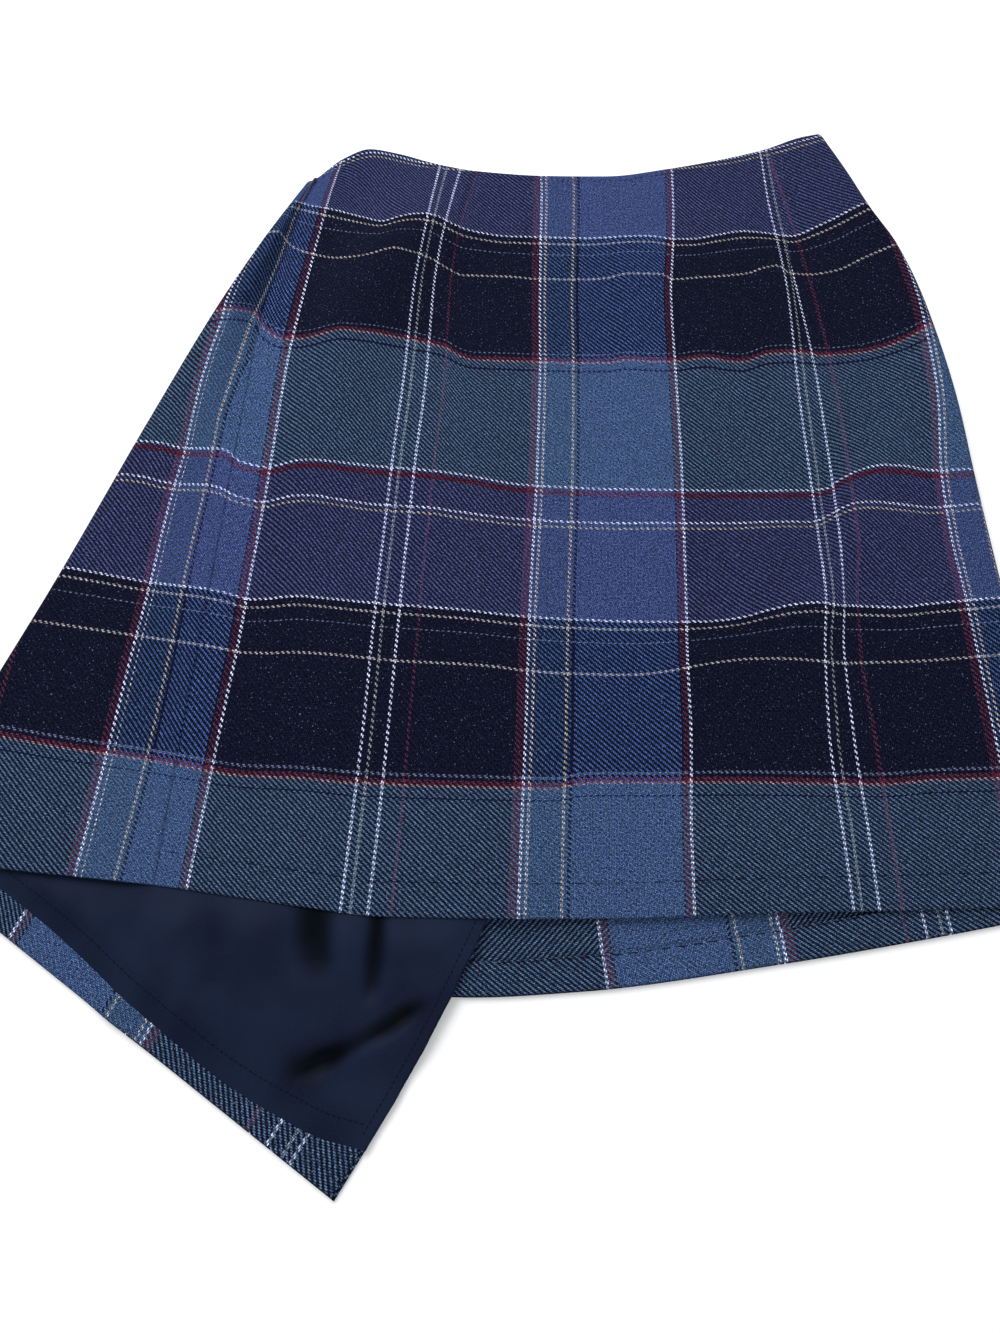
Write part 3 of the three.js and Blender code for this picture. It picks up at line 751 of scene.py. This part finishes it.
def plaid_group(weave):
    """The cloth's colour and height: the yarn on top, its colour from the stripes, with painted shade that
    darkens the weave's hollows and lightens the yarn crests, and with heathered fibres and a few light
    flecks."""
    group, inputs, outputs = new_group(
        "Plaid cloth",
        [("Cloth", "NodeSocketVector")],
        [("Color", "NodeSocketColor"), ("Height", "NodeSocketFloat"), ("Roughness", "NodeSocketFloat")],
    )
    cloth = inputs.outputs["Cloth"]
    twill = group.nodes.new("ShaderNodeGroup")
    twill.node_tree = weave
    group.links.new(cloth, twill.inputs["Cloth"])
    warp = stripes(group, twill.outputs["Warp place"], WARP_START, WARP_REPEAT, WARP_STRIPES)
    weft_ = stripes(group, twill.outputs["Weft place"], WEFT_START, WEFT_REPEAT, WEFT_STRIPES)
    yarn = blend(group, twill.outputs["Warp on top"], weft_, warp)
    grain = band(group, noise(group, cloth, *FIBRE_NOISE), *SOFT)
    fibre = between(group, grain, *FIBRE_LIGHT)
    uneven = between(group, twill.outputs["Chance"], *YARN_LIGHT)
    # Painted shade by yarn height: darker in the hollows between yarns, lighter on their crests
    painted_shade = between(group, band(group, twill.outputs["Height"], *CREST), *PAINTED_WEAVE_SHADE)
    tone_and_painted_shade = maths(group, "MULTIPLY", maths(group, "MULTIPLY", painted_shade, uneven), fibre)
    grey = group.nodes.new("ShaderNodeCombineColor")
    for socket in grey.inputs:
        group.links.new(tone_and_painted_shade, socket)
    shaded = blend(group, 1.0, yarn, grey.outputs[0], "MULTIPLY")
    fleck = band(group, noise(group, cloth, *FLECK_NOISE), *FLECK)
    flecked = blend(group, maths(group, "MULTIPLY", fleck, FLECK_SHARE), shaded, colour(132, 142, 172))
    give_out(group, outputs, flecked, twill.outputs["Height"], between(group, grain, *TWILL_ROUGHNESS))
    return group


# %% Cloth materials
def cloth_material(name, group, depth, strength):
    """A material whose colour, roughness and bump come from a group on the piece's own UV map."""
    material = bpy.data.materials.new(name)
    material.use_nodes = True
    tree = material.node_tree
    shader = tree.nodes["Principled BSDF"]
    own_map = tree.nodes.new("ShaderNodeUVMap")
    own_map.uv_map = "Cloth"
    finish = tree.nodes.new("ShaderNodeGroup")
    finish.node_tree = group
    tree.links.new(own_map.outputs["UV"], finish.inputs["Cloth"])
    bump = tree.nodes.new("ShaderNodeBump")
    set_sockets(bump, {"Strength": strength, "Distance": depth * MM})
    tree.links.new(finish.outputs["Height"], bump.inputs["Height"])
    tree.links.new(bump.outputs["Normal"], shader.inputs["Normal"])
    tree.links.new(finish.outputs["Color"], shader.inputs["Base Color"])
    tree.links.new(finish.outputs["Roughness"], shader.inputs["Roughness"])
    return material, shader


TWILL_BUMP = 0.25
TWILL_BUMP_STRENGTH = 0.6
plaid_twill, plaid_shader = cloth_material(
    "plaid twill", plaid_group(twill_group()), TWILL_BUMP, TWILL_BUMP_STRENGTH
)
set_sockets(plaid_shader, {
    "Specular IOR Level": 0.02,
    "Sheen Weight": 0.01,
    "Sheen Roughness": 0.6,
    "Sheen Tint": (0.7, 0.75, 0.9, 1),
})

# %% [markdown]
# The lining is a navy satin: very fine smooth yarns, so it has a soft gloss and no drawing of its own.
# Its group gives a fine rib, a slight cloudiness, a varying roughness and painted shade in the lining's fold
# troughs.

# %% Satin group
CLOUD_NOISE = (22, 2, 0.5)
SATIN_NOISE = (1400, 2, 0.6)
SATIN_RIB = 0.45
SATIN_RIB_SHARE = 0.3
SATIN_FUZZ = 0.2
SATIN_ROUGHNESS = (0.36, 0.52)
SATIN_BUMP = 0.05
SATIN_BUMP_STRENGTH = 0.4


def satin_group():
    """Fine ribs across the cloth and a slow cloud that changes colour and roughness a little. The colour also
    has painted shade: it goes darker in the lining's fold troughs, as far as the painted trough shade share
    says."""
    group, inputs, outputs = new_group(
        "Satin cloth",
        [("Cloth", "NodeSocketVector"), ("painted_trough_shade", "NodeSocketFloat")],
        [("Color", "NodeSocketColor"), ("Height", "NodeSocketFloat"), ("Roughness", "NodeSocketFloat")],
    )
    cloth = inputs.outputs["Cloth"]
    cloud = noise(group, cloth, *CLOUD_NOISE)
    fibre = noise(group, cloth, *SATIN_NOISE)
    split = group.nodes.new("ShaderNodeSeparateXYZ")
    group.links.new(cloth, split.inputs[0])
    rib = maths(group, "SINE", maths(group, "DIVIDE", split.outputs[1], SATIN_RIB * MM / (2 * math.pi)))
    base = blend(group, band(group, cloud, *SOFT), colour(13, 20, 38), colour(20, 29, 50))
    fuzz = maths(group, "MULTIPLY", band(group, fibre, *SOFT), SATIN_FUZZ)
    fuzzed = blend(group, fuzz, base, colour(38, 46, 70))
    # Painted shade: the colour darkens towards near black in the lining's fold troughs
    trough_shaded = blend(group, inputs.outputs["painted_trough_shade"], fuzzed, colour(2, 5, 11))
    height = maths(group, "MULTIPLY_ADD", rib, SATIN_RIB_SHARE, fibre)
    give_out(group, outputs, trough_shaded, height, between(group, cloud, *SATIN_ROUGHNESS))
    return group


satin, satin_shader = cloth_material("lining satin", satin_group(), SATIN_BUMP, SATIN_BUMP_STRENGTH)
set_sockets(satin_shader, {"Specular IOR Level": 0.03})
# The painted trough shade comes from a point attribute of the lining
trough_shade_attribute = satin.node_tree.nodes.new("ShaderNodeAttribute")
trough_shade_attribute.attribute_name = "painted_trough_shade"
satin_finish = next(node for node in satin.node_tree.nodes if node.type == "GROUP")
satin.node_tree.links.new(trough_shade_attribute.outputs["Fac"], satin_finish.inputs["painted_trough_shade"])


THREAD_NOISE = (2500, 2, 0.6)
THREAD_DARK = 0.7


def thread_material(name, shade):
    """Sewing thread: its colour wavers a little along the row of stitches."""
    material = bpy.data.materials.new(name)
    material.use_nodes = True
    tree = material.node_tree
    shader = tree.nodes["Principled BSDF"]
    places = tree.nodes.new("ShaderNodeTexCoord")
    fuzz = noise(tree, places.outputs["Object"], *THREAD_NOISE)
    dark = tuple(THREAD_DARK * light for light in shade[:3]) + (1.0,)
    tree.links.new(blend(tree, fuzz, dark, shade), shader.inputs["Base Color"])
    set_sockets(shader, {"Roughness": 0.6, "Specular IOR Level": 0.05})
    return material


navy_thread = thread_material("navy thread", colour(9, 12, 26))
beige_thread = thread_material("beige thread", colour(190, 176, 150))

# %% [markdown]
# The back panel. A real one is one A-shaped piece with two waist darts, sewn to its neighbours at both
# sides. It is drawn here in three stretches between the left seam, the two darts and the right fold.
# The cloth that a dart takes in lies between two columns that nearly touch, so the stripes stop at
# the dart as they do on the real skirt. More columns then go round the right fold to the hidden seam.

# %% Back panel
ROWS = np.linspace(0, 1, 172)
BACK_COLUMNS = (46, 74, 36)
SEAM_GAP = 0.3
DART_SEAM = 0.25
# More columns close to a dart, as shares of the stretch beside it
NEAR_DART = np.array([0.01, 0.024, 0.045])
FOLD_TURN = np.radians(np.linspace(15, 180, 12))
UNDER_STEPS = np.linspace(0.12, 1, 9)
EDGE_CURL = 1.0
PANEL_WALL = 1.4
MEET_STEPS = 30
MEET_SHARE = 0.6


def meet(across, edge):
    """The height at which a line of the cloth meets an edge: y = edge(across(y)), found by repeating."""
    y = across(np.zeros((1, 1))) * 0
    for _ in range(MEET_STEPS):
        y = mix(y, edge(across(y)), MEET_SHARE)
    return y


def drawn(left, right, shares):
    """A stretch of the page between two side lines, from the hem to the waist."""

    def across(y):
        return mix(left(y), right(y), shares[:, None])

    y = mix(meet(across, hem_at), meet(across, waist_at), ROWS[None, :])
    return across(y), y


def back_grid():
    """The back's places and cloth coordinates, from the left seam round the right fold. The fold is a
    half circle of the cloth's own height, and the waist steps down a little as it goes under."""

    def fold_start(y):
        return right_fold(y) - right_rise(y) / 2

    stretches = [
        (lambda y: left_seam(y) + SEAM_GAP / 2, lambda y: left_dart(y) - DART_SEAM),
        (lambda y: left_dart(y) + DART_SEAM, lambda y: right_dart(y) - DART_SEAM),
        (lambda y: right_dart(y) + DART_SEAM, fold_start),
    ]
    places = []
    cloth = []
    for number, (sides, count) in enumerate(zip(stretches, BACK_COLUMNS)):
        shares = np.unique(np.concatenate([np.linspace(0, 1, count), NEAR_DART, 1 - NEAR_DART]))
        x, y = drawn(*sides, shares)
        places.append(lifted(x, y, back_height))
        cloth.append(np.stack([back_warp(x, y, number), weft(x, y)], axis=-1))
    places = np.concatenate(places)
    cloth = np.concatenate(cloth)
    start = places[-1]
    radius = start[:, 2] / 2
    angle = FOLD_TURN[:, None]
    turned_y = start[:, 1] - WAIST_STEP / 2 * angle / np.pi * ROWS
    turned = np.stack([start[:, 0] + radius * np.sin(angle), turned_y, radius * (1 + np.cos(angle))], axis=-1)
    page_x, page_y = drawn(fold_start, right_seam, UNDER_STEPS)
    step = WAIST_STEP * (0.5 + UNDER_STEPS[:, None] / 2) * ROWS
    under_x = page_x + (start[:, 0] - page_x[0]) * (1 - UNDER_STEPS[:, None])
    under = np.stack([under_x, page_y - step, np.zeros_like(page_x)], axis=-1)
    rest = np.concatenate([turned, under])
    whole = np.concatenate([places[-1:], rest])
    run = np.cumsum(np.hypot(*np.moveaxis(np.diff(whole[..., [0, 2]], axis=0), -1, 0)), axis=0)
    more = np.stack([cloth[-1, :, 0] + run, cloth[-1, :, 1] + rest[..., 1] - start[:, 1]], axis=-1)
    return np.concatenate([places, rest]), np.concatenate([cloth, more])


back = sheet_object("back_cloth", *curled(*back_grid(), EDGE_CURL), plaid_twill, PANEL_WALL)

# %% [markdown]
# The inner wrap panel is the left front. Its band left of the side seam rolls over the left fold, and
# the rest lies underneath with its pointed corner below the back hem. Its columns start at the free
# front edge underneath, go left, round the fold and up to the seam, so that its face is always outside.

# %% Inner wrap panel
LEFT_WAIST = 511.0
LEFT_HEM = 23.0
FRONT_WAIST = 530.0
FRONT_POINT = -146.0
INNER_WAIST_SAG = 15.0
SEAM_FOOT = 10.0
SEAM_TOP = 515.0
BAND_SAG = 2.0
# The share of the band's width over which it rises to the fold's top
BAND_ROLL = 0.75
BAND_COUNT = 50
UNDER_COUNT = 70
INNER_ROWS = np.linspace(0, 1, 172)
# The band's white and yellow threads, where they lie, and the thread that meets the seam
BAND_WHITE = -332.6
BAND_YELLOW = -309.0
BAND = table(
    "y white yellow seam",
    (13, -299, -277, -286.7), (86, -292, -269, -288.5), (148, -287, -265, -289.6),
    (195, -282.5, -263, -290.4), (227, -280.4, -260.8, -290.8), (260, -277.4, -258.2, -291.3),
    (288, -273.7, -256.8, -294), (310, -272.6, -256.2, -296), (333, -271, -253, -298.5),
    (362, -267.5, -248.3, -303.5),
    (389, -262.9, -243.5, -304), (406, -261.4, -238.4, -304.6), (426, -257.6, -233, -305.4),
    (450, -250, -227.8, -306), (482, -238, -222, -306), (515, -226, -211.5, -306),
)
band_white = curve(BAND, "y", "white")
band_yellow = curve(BAND, "y", "yellow")
band_seam = curve(BAND, "y", "seam")


def band_places(share):
    """The band from the seam to the top of the left fold: straight across in plan, and up into the
    fold's roll as an S in height."""
    seam_y = mix(hem_at(left_seam(SEAM_FOOT)), waist_at(left_seam(SEAM_TOP)), INNER_ROWS)
    seam = lifted(left_seam(seam_y), seam_y, back_height)
    fold_y = mix(LEFT_HEM, LEFT_WAIST, INNER_ROWS)
    fold_x = left_fold(fold_y) + left_rise(fold_y) / 2
    x = mix(seam[:, 0] - SEAM_GAP / 2, fold_x, share)
    y = mix(seam[:, 1], fold_y, share) - BAND_SAG * share * np.sin(np.pi * share) * (1 - INNER_ROWS)
    z = mix(seam[:, 2], left_rise(fold_y), smooth(0, BAND_ROLL, share))
    return np.stack([x, y, z], axis=-1)


def turn_places(angle):
    """The half turn round the left fold, from its top down to the lower layer."""
    y = mix(LEFT_HEM, LEFT_WAIST, INNER_ROWS)
    half = left_rise(y) / 2
    bottom = inner_lower_height(left_fold(y), y)
    z = bottom + (half - bottom / 2) * (1 + np.cos(angle))
    return np.stack([left_fold(y) + half - half * np.sin(angle), y, z], axis=-1)


def under_places(share, rows=INNER_ROWS):
    """The lower layer: rows run straight from the left fold to the free front edge, slanting down to
    the pointed corner at the hem and sagging a little near the waist."""
    fold_y = mix(LEFT_HEM, LEFT_WAIST, rows)
    front_y = mix(FRONT_POINT, FRONT_WAIST, rows)
    x = mix(left_fold(fold_y) + left_rise(fold_y) / 2, inner_front(front_y), share)
    y = mix(fold_y, front_y, share) - INNER_WAIST_SAG * np.sin(np.pi * share) * rows**3
    return np.stack([x, y, inner_lower_height(x, y)], axis=-1)


def inner_grid():
    """The inner panel's places and cloth coordinates, from its front edge to the left seam."""
    band_shares = np.linspace(0, 1, BAND_COUNT)
    top = np.stack([band_places(share) for share in band_shares])
    page_x, page_y = on_page(top)
    knots = [band_white(page_y), band_yellow(page_y), left_seam(page_y)]
    warp = between_guides(page_x, knots, [BAND_WHITE, BAND_YELLOW, band_seam(page_y)])
    top_cloth = np.stack([warp, weft(page_x, page_y)], axis=-1)
    rest = [turn_places(angle) for angle in FOLD_TURN[:-1]]
    rest += [under_places(share) for share in np.linspace(0, 1, UNDER_COUNT)]
    rest = np.stack(rest)
    whole = np.concatenate([top[-1:], rest])
    run = np.cumsum(np.linalg.norm(np.diff(whole, axis=0), axis=-1), axis=0)
    own_weft = np.broadcast_to(top_cloth[-1, :, 1], run.shape)
    rest_cloth = np.stack([top_cloth[-1, :, 0] - run, own_weft], axis=-1)
    return np.concatenate([top, rest])[::-1], np.concatenate([top_cloth, rest_cloth])[::-1]


inner = sheet_object("inner_wrap_cloth", *curled(*inner_grid(), EDGE_CURL), plaid_twill, PANEL_WALL)

# %% [markdown]
# The hem of the inner panel is turned up on its inside, and the lining is sewn over its raw edge. Both
# are grids in the same two directions: along the hem, and up from the edge along the panel's columns.

# %% Inner hem and lining
INNER_LENGTH = 575.0
INNER_HEM_LENGTH = 316.0
LINING_STITCH = 9.5
# Shares along the hem from the left fold to the front edge, and steps up from the hem
HEM_ALONG = np.linspace(0.012, 0.994, 110)
HEM_UP = np.linspace(0, 1, 14)
LINING_ALONG = np.linspace(0.02, 1.0012, 190)
LINING_UP = np.linspace(0, 1, 110)
HEM_IN = 0.6
HEM_CURL = 0.9
HEM_WALL = 0.9
LINING_CURL = 0.4
LINING_WALL = 0.6
INNER_HEM_WIDTHS = table("share width", (0, 19), (0.3, 17), (0.5, 12), (0.72, 9), (0.9, 13), (1, 20))
inner_hem_width = curve(INNER_HEM_WIDTHS, "share", "width")
HEM_TUCK = 4.0
STRIP_WARP = -440.4
STRIP_STRETCH = 1.016
LINING_REACH = 60.0
LEAST_REACH = 20.0
FRONT_WAVE = 0.0009
FRONT_WAVE_FROM = 0.9
FRONT_WAVE_STEP = 23.0
LINING_OVER = 2.8
LINING_FOLDS = [
    (6, through((-128, 10, -3.4), (-128, -14, -3.4), (-128, -27, -3.2), (-129, -42, -2.4),
                (-130, -52, -0.6))),
    (14, through((-164, 8, -3.4), (-162, -15, -3.4), (-157, -28, -2.8), (-157, -42, -0.8))),
    (8, through((-146, 0, 1.6), (-145, -28, 1.6), (-140, -50, 0.8))),
    (6, through((-94, -43, -1.0), (-110, -55, -3.0), (-120, -62, -2.8), (-138, -72, -2.4),
                (-152, -79, -3.2), (-163, -84, -1.4))),
    (13, through((-148, -82, -1.8), (-166, -84, -1.6))),
    (11, through((-112, -52, -1.4), (-120, -58, -1.4))),
    (8, through((-104, -66, 1.0), (-124, -75, 1.6), (-150, -88, 1.2))),
    (9, through((-104, -40, 1.2), (-122, -52, 1.6), (-142, -60, 0.8))),
    (12, through((-100, 0, 1.0), (-104, -26, 1.0))),
    (14, through((-190, -6, 1.2), (-196, -40, 1.2), (-206, -70, 0.6))),
    (10, through((-214, -10, -1.2), (-219, -40, -1.4), (-226, -62, -0.4))),
    (16, through((-240, -16, 0.8), (-252, -44, 0.8))),
]


def up_the_panel(share, up):
    """Places on the lower layer at a distance up its columns from the hem."""
    return under_places(share, up / INNER_LENGTH)


LINING_FREE = (-10, 22)
LINING_EASE = (-1, 16)
# The depth of a lining fold at which its painted trough shade is full
FULL_SHADE_DEPTH = 3.6
PUCKER = 0.3
PUCKER_HALF = 4.0
PUCKER_STEP = 6.5


def lining_top(share, up):
    """The lining's upper side: flat under the back, freer with soft folds below it, held down at its
    own hem and front edge, and puckered along its stitches as a sine that fades on both sides."""
    places = up_the_panel(share, up)
    x, y = places[..., 0], places[..., 1]
    over = up - inner_hem_width(share)
    beside = (1 - share) * INNER_HEM_LENGTH
    held = smooth(*LINING_EASE, over) * smooth(*LINING_EASE, beside)
    free = smooth(*LINING_FREE, hem_at(x) - y)
    folds = LINING_OVER + ridges(LINING_FOLDS, x, y)
    near = np.exp(-(((over - LINING_STITCH) / PUCKER_HALF) ** 2))
    pucker = PUCKER * near * np.sin(2 * np.pi * share * INNER_HEM_LENGTH / PUCKER_STEP)
    rise = LINING_HEIGHT + free * held * folds + free * (pucker + PUCKER)
    return np.stack([x, y, places[..., 2] + rise], axis=-1)


def hem_grid():
    """The turned-up strip, from the folded edge to where the lining covers it. Its face shows, so its
    threads run on round the edge and count down from the hem."""
    share = HEM_ALONG[::-1, None]
    up = mix(HEM_IN, inner_hem_width(share) + HEM_TUCK, HEM_UP)
    places = up_the_panel(share, up)
    places[..., 2] += STRIP_HEIGHT
    edge = under_places(1.0, 0.0) - under_places(0.0, 0.0)
    along = share * np.linalg.norm(edge)
    cloth = np.stack([np.broadcast_to(STRIP_WARP - along / STRIP_STRETCH, up.shape), -up], axis=-1)
    return places[::-1], cloth[::-1]


def lining_grid():
    """The lining, from its own hem to well under the back, and from the left fold to the front edge."""
    share = LINING_ALONG[:, None]
    low = inner_hem_width(share)
    edge = up_the_panel(share, low)
    reach = np.maximum(LEAST_REACH, hem_at(edge[..., 0]) + LINING_REACH - edge[..., 1])
    up = low + reach * LINING_UP
    wave = FRONT_WAVE * (1 + np.sin(2 * np.pi * up / FRONT_WAVE_STEP))
    wavy = share - wave * smooth(FRONT_WAVE_FROM, 1, share)
    return lining_top(wavy, up), np.stack([wavy * INNER_HEM_LENGTH, up], axis=-1)


hem_strip = curled(*hem_grid(), HEM_CURL, (True, False))
inner_hem = sheet_object("inner_wrap_hem_cloth", *hem_strip, plaid_twill, HEM_WALL)
lining_places, lining_cloth = curled(*lining_grid(), LINING_CURL, (True, False))
lining = sheet_object("lining_cloth", lining_places, lining_cloth, satin, LINING_WALL)
# Painted shade for the satin's colour: 0 on the flat, 1 where a lining fold sinks its full depth
painted_shade = smooth(0, -FULL_SHADE_DEPTH, ridges(LINING_FOLDS, lining_places[..., 0], lining_places[..., 1]))
trough_shade_layer = lining.data.attributes.new("painted_trough_shade", "FLOAT", "POINT")
trough_shade_layer.data.foreach_set("value", painted_shade.astype(np.float32).ravel())
print("the lining's deepest hollow is", round(float(painted_shade.max()), 2))

# %% [markdown]
# The outer wrap panel is the right front, the lowest layer. Seen here is its wrong side, so its
# stripes and its diagonals run the other way round, and above its edge the turned-up hem shows the
# face again, upside down. Its guide threads were followed across both.

# %% Outer wrap panel and hem
OUTER_ALONG = np.linspace(1, 0, 170)[:, None]
# The rows crowd towards the hem, where the panel is seen
OUTER_ROWS = np.linspace(0, 1, 60) ** 1.5
OUTER_WAIST_STEP = WAIST_STEP + 1
OUTER_WALL = 1.6
OUTER_HEM_WIDTH = 18.0
OUTER_HEM_UP = np.linspace(0, 1, 12)
OUTER_HEM_INSET = 0.5
HIDDEN_SEAM_GAP = 0.9
OUTER_LEAN = 0.15
OUTER_THREADS = table("x warp", (-5.3, 47.6), (69.7, -22.7), (99, -50.5), (164.9, -118.5), (192, -148))


def outer_warp(x, y):
    """The warp coordinate on the outer panel: mirrored, and leaning a little."""
    upright = x + OUTER_LEAN * y
    knots = OUTER_THREADS["x"]
    inside = np.interp(upright, knots, OUTER_THREADS["warp"])
    return inside - np.minimum(upright - knots[0], 0) - np.maximum(upright - knots[-1], 0)


def outer_across(y, share, inset=0.0):
    """The x at a share of the way from the outer panel's front edge to its seam."""
    return mix(outer_front(y) + inset, right_seam(y) - HIDDEN_SEAM_GAP - inset, share)


def outer_grid():
    """The outer panel's face, on the table, from the right seam to its hidden front edge."""
    across = partial(outer_across, share=OUTER_ALONG)
    y = mix(meet(across, outer_hem), meet(across, waist_at) - OUTER_WAIST_STEP, OUTER_ROWS)
    x = across(y)
    cloth = np.stack([outer_warp(x, y), y - outer_hem(x)], axis=-1)
    return np.stack([x, y, np.zeros_like(x)], axis=-1), cloth


def outer_hem_grid():
    """The outer panel's turned-up strip, on its inside."""
    across = partial(outer_across, share=OUTER_ALONG[::-1], inset=OUTER_HEM_INSET)
    y = meet(across, outer_hem) + mix(HEM_IN, OUTER_HEM_WIDTH, OUTER_HEM_UP)
    x = across(y)
    cloth = np.stack([outer_warp(x, y), outer_hem(x) - y], axis=-1)
    return np.stack([x, y, np.full_like(x, STRIP_HEIGHT)], axis=-1), cloth


outer = sheet_object("outer_wrap_cloth", *curled(*outer_grid(), EDGE_CURL), plaid_twill, OUTER_WALL)
turned_up = curled(*outer_hem_grid(), HEM_CURL, (True, False))
outer_strip = sheet_object("outer_wrap_hem_cloth", *turned_up, plaid_twill, HEM_WALL)

# %% [markdown]
# Stitches are real little threads: each is a thin tube that comes up out of the cloth, lies along the
# row and goes down again. All the stitches of a row are one mesh, worked out as arrays.

# %% Stitch rows
STITCH_SIDES = 6
STITCH_RINGS = np.linspace(0, 1, 5)
# How wide a stitch's ends are, as a share of its middle
STITCH_END = 0.55
LEAST_RUN = 0.01
# Each row: its stitch's length, the gap after it, the thread's radius, and how deep its ends sink
STITCHES = {
    "back_hem_stitches": (8.0, 3.5, 0.2, 0.1),
    "waist_stitches": (3.0, 0.8, 0.16, 0.3),
    "lining_hem_stitches": (2.4, 0.8, 0.2, 0.1),
    "front_edge_stitches": (2.4, 0.8, 0.2, 0.1),
    "tack": (1.7, 1.0, 0.4, 0.1),
    "outer_hem_stitches": (6.0, 3.0, 0.26, 0.1),
}


def stitch_row(name, path, thread=navy_thread):
    """A row of stitches along a path of places. Each stitch is a tube whose centre rises from below
    the cloth as the arch 4t(1 - t), and whose ends narrow."""
    length, gap, radius, sink = STITCHES[name]
    run = np.concatenate([[0], np.cumsum(np.linalg.norm(np.diff(path, axis=0), axis=-1))])
    starts = np.arange(0, max(run[-1] - length, LEAST_RUN), length + gap)
    at = starts[:, None] + length * STITCH_RINGS[None, :]
    centre = np.stack([np.interp(at, run, path[:, axis]) for axis in range(3)], axis=-1)
    arch = 4 * STITCH_RINGS * (1 - STITCH_RINGS)
    centre[..., 2] += radius * arch - sink * (1 - arch)
    ahead = np.gradient(centre, axis=1)
    ahead /= np.linalg.norm(ahead, axis=-1, keepdims=True)
    side = np.cross(ahead, (0.0, 0.0, 1.0))
    side /= np.linalg.norm(side, axis=-1, keepdims=True)
    above = np.cross(side, ahead)
    angle = np.linspace(0, 2 * np.pi, STITCH_SIDES, endpoint=False)[:, None]
    width = radius * mix(STITCH_END, 1, arch)[:, None, None]
    ring = side[:, :, None] * np.cos(angle) + above[:, :, None] * np.sin(angle)
    points = centre[:, :, None] + width * ring
    stitches, rings, sides = points.shape[:3]
    index = np.arange(stitches * rings * sides).reshape(stitches, rings, sides)
    onward = np.roll(index, -1, axis=2)
    quads = np.stack([index[:, :-1], onward[:, :-1], onward[:, 1:], index[:, 1:]], axis=-1).reshape(-1, 4)
    caps = np.concatenate([index[:, 0, ::-1], index[:, -1]])
    row = mesh_object(name, points, quads.tolist() + caps.tolist(), thread)
    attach(row, "root")
    print(name, "has", stitches, "stitches")


# %% Rows of sewing
BACK_HEM_STITCH = 18.3
WAIST_STITCH = 4.0
OUTER_HEM_STITCH = 17.0
STITCH_LIFT = 0.1
# Where each row's path starts and ends, and how many places it has
BACK_HEM_ROW = np.linspace(-250, 258, 400)
WAIST_ROW = np.linspace(-205, 158, 300)
OUTER_HEM_ROW = np.linspace(-60, 150, 250)
LINING_HEM_ROW = np.linspace(0.03, 0.985, 600)
FRONT_EDGE_ROW = np.linspace(24, 190, 400)
FRONT_EDGE_SHARE = 0.983
TACK_UP = np.array([136.0, 137.8])
TACK_SHARE = 0.985

stitch_row("back_hem_stitches", lifted(BACK_HEM_ROW, hem_at(BACK_HEM_ROW) + BACK_HEM_STITCH, back_height))
stitch_row("waist_stitches", lifted(WAIST_ROW, waist_at(WAIST_ROW) - WAIST_STITCH, back_height))
stitch_row("lining_hem_stitches", lining_top(LINING_HEM_ROW, inner_hem_width(LINING_HEM_ROW) + LINING_STITCH))
stitch_row("front_edge_stitches", lining_top(np.full_like(FRONT_EDGE_ROW, FRONT_EDGE_SHARE), FRONT_EDGE_ROW))
stitch_row("tack", lining_top(np.full_like(TACK_UP, TACK_SHARE), TACK_UP), beige_thread)
strip_top = np.full_like(OUTER_HEM_ROW, STRIP_HEIGHT + STITCH_LIFT)
strip = np.stack([OUTER_HEM_ROW, outer_hem(OUTER_HEM_ROW) + OUTER_HEM_STITCH, strip_top], axis=-1)
stitch_row("outer_hem_stitches", strip)

# %% [markdown]
# Every piece rides on the one body and takes the place of its CAD node, which is hidden. Nothing moves on
# this garment.

# %% Bodies, nodes and sheets
# Each row: the piece, its node and finish, its flat size and area in metres, and what it rests on
SHEETS = [
    (back, "back_panel", "plaid_twill", (0.57, 0.60), 0.272,
     ["inner_wrap_panel", "inner_wrap_lining", "outer_wrap_panel"]),
    (inner, "inner_wrap_panel", "plaid_twill", (0.49, 0.60), 0.242, ["outer_wrap_panel", "floor"]),
    (lining, "inner_wrap_lining", "lining_satin", (0.32, 0.21), 0.0439, ["inner_wrap_panel"]),
    (inner_hem, "inner_wrap_hem", "plaid_twill", (0.32, 0.026), 0.0065, ["inner_wrap_panel"]),
    (outer, "outer_wrap_panel", "plaid_twill", (0.50, 0.60), 0.235, ["floor"]),
    (outer_strip, "outer_wrap_hem", "plaid_twill", (0.51, 0.02), 0.0095, ["outer_wrap_panel"]),
]
for piece, node, slot, flat, area, rests_on in SHEETS:
    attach(piece, "root")
    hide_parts(node)
